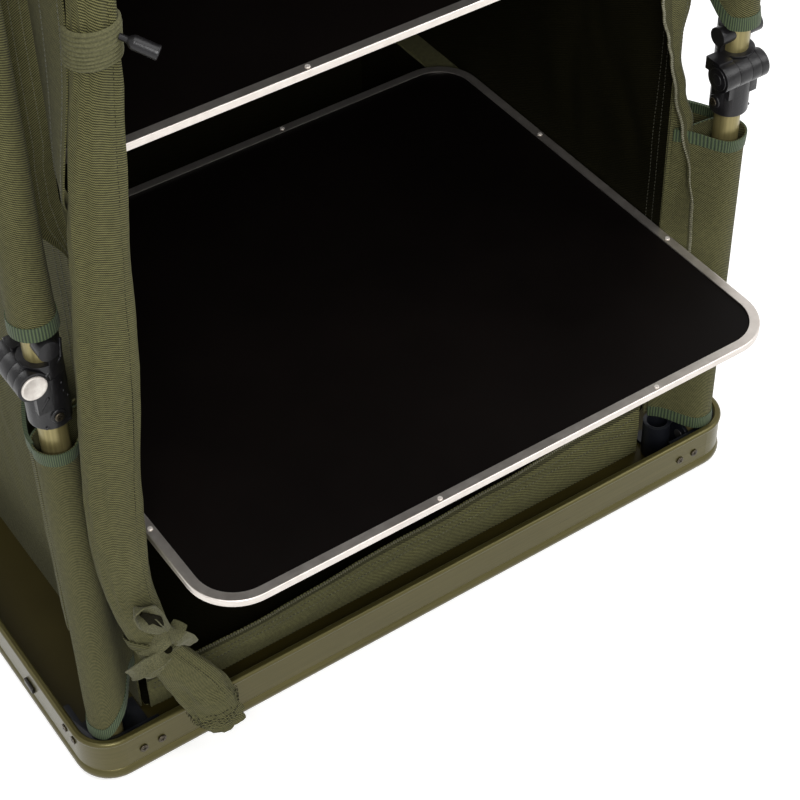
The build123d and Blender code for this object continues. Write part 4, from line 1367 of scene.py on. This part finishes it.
def roll_place(u, v):
    share = u ** 0.62
    foot, head = roll_hem(share), roll_head - 0.004 * share ** 2
    z = foot + v * (head - foot)
    lip = rise(share, 0.985, 1.0) * 0.0011
    hem = (1 - rise(z - foot, 0.0085, 0.0095)) * 0.0011
    return roll_point(share, z, lip + hem)


door_roll = cloth_piece("rolled_door", 250, 150, roll_size, roll_place, 0.0007)
dress(door_roll, cover_twill)
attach(door_roll, "base")
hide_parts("door_roll")

# Door web. Between the cover's left edge and the roll the door's cloth hangs in a shallow curve,
# with a row of stitches along its middle and another where the roll begins.
web_roots = (
    (0.050, 0.2362), (0.255, 0.2362), (0.325, 0.2318), (0.340, 0.2278), (0.428, 0.2278),
    (0.487, 0.2361), (0.738, 0.2362),
)
web_foot, web_head = 0.0560, 0.7350
web_size = (0.042, 0.679)


def web_place(u, v):
    z = web_foot + v * (web_head - web_foot)
    root = Vector((-at_height(web_roots, z)[0], -0.2106))
    x, y, half_width, half_depth = roll_at(z)
    left = rise(z, 0.490, 0.545)
    side = math.radians(80 + 92 * left)
    end = Vector((
        x + (half_width - 0.0004) * math.cos(side), y + (half_depth - 0.0004) * math.sin(side)
    ))
    bend = (root + end) / 2 + Vector((0.0035 * (1 - 2 * left), 0.0))
    spot = bowed(u, root, bend, end)
    ripple = 0.0012 * noise.noise(Vector((u * 1.2, z * 13, 31))) * rise(u, 0, 0.3) * left
    return (spot.x + ripple, spot.y, z)


door_web = cloth_piece("door_web", 26, 170, web_size, web_place, 0.0010)
dress(door_web, cover_twill)
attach(door_web, "base")
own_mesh(door_web)


def roll_seam(points):
    """a row of the roll's points, each with its direction away from the roll's middle"""
    row = []
    for at in points:
        middle_x, middle_y, _, _ = roll_at(at.z)
        row.append((at, Vector((at.x - middle_x, at.y - middle_y, 0)).normalized()))
    return row


web_rows = [run(web_place, u, 0.0, 1.0, 260, (-1, -0.35, 0), 0.0008) for u in (0.45, 0.90)]
hem_rows = []
for height, stand in ((0.0020, 0.0017), (0.0048, 0.0017), (0.0078, 0.0017), (0.0125, 0.0006)):
    shares = [1 - 1.4 / roll_turns * step / 159 for step in range(160)]
    hem_rows.append(roll_seam([roll_point(s, roll_hem(s) + height, stand) for s in shares]))
for back in (0.0035, 0.0075):
    share = 1 - back / (roll_turns * 0.096)
    drops = [0.006 + (roll_head - roll_foot - 0.022) * step / 259 for step in range(260)]
    hem_rows.append(roll_seam([roll_point(share, roll_head - drop, 0.0006) for drop in drops]))
web_seams = stitch_rows("web_seams", web_rows, thread_olive)
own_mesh(web_seams)
door_seams = stitch_rows("door_seams", hem_rows, tape_weave)
for seams in (web_seams, door_seams):
    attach(seams, "base")

# Ties. The upper one is a broad elastic tape, gathered in nine fine folds round the roll. The
# lower one is a strap of thin twill, crossed and knotted in front, with its ends hanging.
tie_cloth = twill("tie_cloth", (0.030, 0.029, 0.010), (0.130, 0.124, 0.056))
strap_cloth = mottled(
    "strap_cloth", 0.0, 0.75, (1300, 4), (0.045, 0.043, 0.018), (0.118, 0.113, 0.054),
    bump=(0.0004, 0.5), Sheen_Weight=0.06, Specular_IOR_Level=0.25,
)
elastic_web = mottled(
    "elastic_web", 0.0, 0.8, (900, 3), (0.062, 0.060, 0.026), (0.108, 0.103, 0.048),
    bump=(0.0003, 0.5), Sheen_Weight=0.06, Specular_IOR_Level=0.25,
)


def round_roll(angle, z, out):
    """a point that far off the roll's side at a height"""
    x, y, half_width, half_depth = roll_at(z)
    return (x + (half_width + out) * math.cos(angle), y + (half_depth + out) * math.sin(angle), z)


def upper_tie_place(u, v):
    angle, height = -2 * math.pi * u, 2 * v - 1
    fold = abs(math.sin(9 * math.pi * v + 0.5 * math.sin(angle))) ** 0.7
    uneven = noise.noise(Vector((math.cos(angle) * 2, math.sin(angle) * 2, v * 9)))
    out = 0.0012 + 0.0016 * fold * (0.75 + 0.25 * uneven) - 0.0010 * rise(abs(height), 0.86, 1)
    x, y, z = round_roll(angle, tie_heights[0] + height * 0.0108, out)
    return (x, y, z - 0.0016 * math.cos(angle - math.radians(250)) * (1 - abs(height)))


upper_tie = round_cloth("upper_tie", 120, 90, (0.092, 0.022), upper_tie_place, 0.0006)
dress(upper_tie, elastic_web)
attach(upper_tie, "base")


def strap(name, points, widths, facing, curl=0.0, seed=0):
    """a flat strap along a smooth line of points, each with its width; facing is its outer side"""
    line = [Vector(point) for point in points]
    outside = Vector(facing)

    def on_line(share):
        at = share * (len(line) - 1)
        index = min(len(line) - 2, int(at))
        before, first = line[max(0, index - 1)], line[index]
        second, after = line[index + 1], line[min(len(line) - 1, index + 2)]
        leaving, arriving = (second - before) / 2, (after - first) / 2
        return smooth_from(at - index, first, second, leaving, arriving)

    def place(u, v):
        along = (on_line(min(1, v + 0.01)) - on_line(max(0, v - 0.01))).normalized()
        outward = (outside - along * along.dot(outside)).normalized()
        at = v * (len(widths) - 1)
        index = min(len(widths) - 2, int(at))
        width = widths[index] + (at - index) * (widths[index + 1] - widths[index])
        lift = curl * (1 - (2 * u - 1) ** 2) + 0.0006 * noise.noise(Vector((u * 3, v * 7, seed)))
        return on_line(v) + along.cross(outward) * (2 * u - 1) * width / 2 + outward * lift

    widest, mean = max(widths), sum(widths) / len(widths)
    length = sum((b - a).length for a, b in zip(line[:-1], line[1:]))
    piece = cloth_piece(name, 12, 60, (widest, length), place, 0.0011)
    dress(piece, strap_cloth)
    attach(piece, "base")
    return piece


def lower_tie_place(u, v):
    angle = -2 * math.pi * u
    tilt = -0.0110 * math.cos(angle - math.radians(20))
    out = 0.0013 + 0.0004 * math.sin(3 * math.pi * v + 2 * math.sin(2 * angle))
    return round_roll(angle, 0.1490 + (2 * v - 1) * 0.0050 + tilt, out)


tie_size = (0.094, 0.0105)
lower_tie = round_cloth("lower_tie", 110, 12, tie_size, lower_tie_place, 0.0009)
dress(lower_tie, tie_cloth)
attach(lower_tie, "base")
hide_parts("door_ties")

knot_facing = (-0.39, -0.60, 0.70)
strap(
    "knot_cross",
    [(-0.2262, -0.2715, 0.1625), (-0.2329, -0.2762, 0.1621), (-0.2412, -0.2797, 0.1663),
     (-0.2467, -0.2796, 0.1637), (-0.2513, -0.2766, 0.1590), (-0.2572, -0.2690, 0.1560)],
    [0.010, 0.012, 0.0125, 0.0125, 0.012, 0.010], knot_facing, 0.0010, seed=1,
)
strap(
    "knot_tab",
    [(-0.2380, -0.2790, 0.1600), (-0.2353, -0.2790, 0.1604), (-0.2283, -0.2765, 0.1520),
     (-0.2219, -0.2715, 0.1410), (-0.2173, -0.2676, 0.1310)],
    [0.009, 0.011, 0.011, 0.0105, 0.008], knot_facing, 0.0008, seed=2,
)
strap(
    "knot_loop",
    [(-0.2370, -0.2760, 0.1672), (-0.2422, -0.2786, 0.1839), (-0.2491, -0.2800, 0.1992),
     (-0.2580, -0.2790, 0.2064), (-0.2612, -0.2786, 0.2020), (-0.2571, -0.2809, 0.1918),
     (-0.2503, -0.2802, 0.1808), (-0.2390, -0.2765, 0.1656)],
    [0.0050, 0.0070, 0.0080, 0.0105, 0.0105, 0.0080, 0.0070, 0.0050],
    (-0.45, 0.30, 0.60), seed=3,
)
strap(
    "knot_tail",
    [(-0.2432, -0.2830, 0.1530), (-0.2512, -0.2850, 0.1539), (-0.2591, -0.2826, 0.1500),
     (-0.2654, -0.2765, 0.1409), (-0.2686, -0.2690, 0.1320)],
    [0.0080, 0.0105, 0.0110, 0.0105, 0.0080], (-0.30, -0.72, 0.62), -0.0016, seed=4,
)
strap(
    "knot_end",
    [(-0.2424, -0.2789, 0.1468), (-0.2492, -0.2800, 0.1454), (-0.2552, -0.2790, 0.1397),
     (-0.2594, -0.2740, 0.1320)],
    [0.0080, 0.0105, 0.0105, 0.0070], (-0.39, -0.60, 0.50), 0.0010, seed=5,
)
# a near-black leaf inside the loop: painted shadow of the knot's hollow
hollow_painted_shadow = strap(
    "knot_hollow",
    [(-0.2438, -0.2783, 0.1774), (-0.2478, -0.2803, 0.1874), (-0.2533, -0.2823, 0.1974),
     (-0.2578, -0.2823, 0.2040)],
    [0.0040, 0.0100, 0.0056, 0.0020], knot_facing, seed=6,
)
dress(hollow_painted_shadow, coating_and_painted_shade)

# Snap and cord lock. A dark press snap holds the strap's crossing. The upper tie's end runs
# through a moulded tube of black plastic with a narrow neck.
button = round_dot((-0.2434, -0.2842, 0.1589), knot_facing, 0.0031, 0.0016)
button.name = "strap_snap"
dress(button, coating_and_painted_shade)
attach(button, "base")

lock_axis = Vector((14.0, -14.0, -8.0)).normalized()
lock_foot = Vector((-0.21404, -0.27296, 0.6330)) - lock_axis * 0.0006
# each step's length along the tube and how much it widens there
lock_profile = (
    (0.0045, 1.0), (0.0006, 1.16), (0.0024, 1.80), (0.0012, 1.06), (0.0120, 1.0), (0.0014, 1.04),
    (0.0004, 0.965),
)
bpy.ops.object.select_all(action="DESELECT")
bpy.ops.mesh.primitive_circle_add(vertices=40, radius=0.0019, fill_type="NGON")
lock = bpy.context.object
lock.name = "cord_lock"
bpy.ops.object.mode_set(mode="EDIT")
bpy.ops.mesh.select_all(action="SELECT")
bpy.ops.mesh.flip_normals()
for lift, grow in lock_profile:
    bpy.ops.mesh.extrude_region_move(TRANSFORM_OT_translate={"value": (0, 0, lift)})
    bpy.ops.transform.resize(value=(grow, grow, 1), center_override=(0, 0, 0))
bpy.ops.mesh.inset(thickness=0.0011)
bpy.ops.mesh.extrude_region_move(TRANSFORM_OT_translate={"value": (0, 0, -0.0090)})
bpy.ops.mesh.select_all(action="SELECT")
bpy.ops.mesh.normals_make_consistent(inside=False)
bpy.ops.object.mode_set(mode="OBJECT")
modified(
    lock, "BEVEL", width=0.00025, segments=2, limit_method="ANGLE", angle_limit=math.radians(30)
)
bpy.ops.object.shade_smooth_by_angle(angle=math.radians(40))
lock.matrix_world = Matrix.Translation(lock_foot) @ along_z(lock_axis)
apply_place(lock)
dress(lock, knee_nylon)
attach(lock, "base")
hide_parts("toggle")

# Head of the cover. A shallow twill cap fixed inside the lid, with a skirt all round that the
# walls are sewn to. Its corners are rounded and its sides are slightly slack.
head_low, head_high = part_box("cover_head")
bpy.ops.object.select_all(action="DESELECT")
bpy.ops.mesh.primitive_cube_add(size=1, location=(head_low + head_high) / 2)
cap = bpy.context.object
cap.name = "cover_cap"
cap.scale = head_high - head_low - Vector((0.0016, 0.0030, 0.0014))
apply_place(cap)
bpy.ops.object.mode_set(mode="EDIT")
bpy.ops.mesh.select_mode(type="FACE")
bpy.ops.mesh.select_all(action="DESELECT")
pick_faces(cap, lambda face: face.normal.z < -0.9)
bpy.ops.mesh.delete(type="FACE")
bpy.ops.mesh.select_mode(type="EDGE")
bpy.ops.mesh.select_all(action="DESELECT")
bpy.ops.object.mode_set(mode="OBJECT")
for edge in cap.data.edges:
    low_end, high_end = (cap.data.vertices[index].co for index in edge.vertices)
    edge.select = abs(low_end.z - high_end.z) > 0.01
bpy.ops.object.mode_set(mode="EDIT")
bpy.ops.mesh.bevel(offset=0.0055, segments=4, affect="EDGES")
bpy.ops.mesh.select_all(action="SELECT")
bpy.ops.uv.cube_project(cube_size=1)
bpy.ops.mesh.subdivide(number_cuts=24)
bpy.ops.object.mode_set(mode="OBJECT")
for point in cap.data.vertices:
    at = point.co.copy()
    depth = rise(head_high.z - at.z, 0.004, 0.02) * rise(at.z - head_low.z, 0.002, 0.01)
    pull = 0.0010 * depth * (1 + noise.noise(Vector((at.x * 12, at.y * 12, at.z * 22))))
    if abs(at.x) > abs(at.y) * 1.05:
        point.co.x -= math.copysign(pull, at.x)
    else:
        point.co.y -= math.copysign(pull, at.y)
modified(cap, "SOLIDIFY", thickness=0.0011, offset=-1)
bpy.ops.object.shade_smooth_by_angle(angle=math.radians(50))
dress(cap, cover_twill)
# the cap's underside takes the near-black coating, partly painted shade
coat_inside_painted_shade(cap, (0, 0, -1))
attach(cap, "lid")
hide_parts("cover_head")

# Latches and carrying handle, on the left side of the lid. Pressed plates and hooks of blackened
# steel turn on short pins; the handle is moulded in black nylon, with rings round its grip.
for node_name, name, body, width in (
    ("latch_plates", "latch_bases", "lid", 0.0004),
    ("latch_front", "front_hook", "latch_front", 0.0005),
    ("latch_back", "back_hook", "latch_back", 0.0005),
):
    piece = eased(node_name, name, width)
    dress(piece, dark_steel)
    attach(piece, body)
    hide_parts(node_name)
mounts = eased("handle_mounts", "handle_ears", 0.0005)
dress(mounts, bracket_nylon)
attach(mounts, "lid")
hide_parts("handle_mounts")
grip = eased("handle", "carrying_handle", 0.0007)
grip_low, grip_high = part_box("handle")
ring_z = grip_low.z + 0.006
ring_x = (grip_low.x + grip_high.x) / 2
rings = []
for number in range(-8, 9):
    bpy.ops.object.select_all(action="DESELECT")
    bpy.ops.mesh.primitive_torus_add(
        major_radius=0.0060, minor_radius=0.0007, major_segments=40, minor_segments=8,
        location=(ring_x, number * 0.0042, ring_z), rotation=(math.pi / 2, 0, 0)
    )
    ring = bpy.context.object
    apply_place(ring)
    rings.append(ring)
grip = joined([grip] + rings, "carrying_handle")
bpy.ops.object.shade_smooth_by_angle(angle=math.radians(35))
dress(grip, bracket_nylon)
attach(grip, "handle")
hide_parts("handle")

bpy.data.objects.remove(pattern_screw)
bpy.context.view_layer.update()
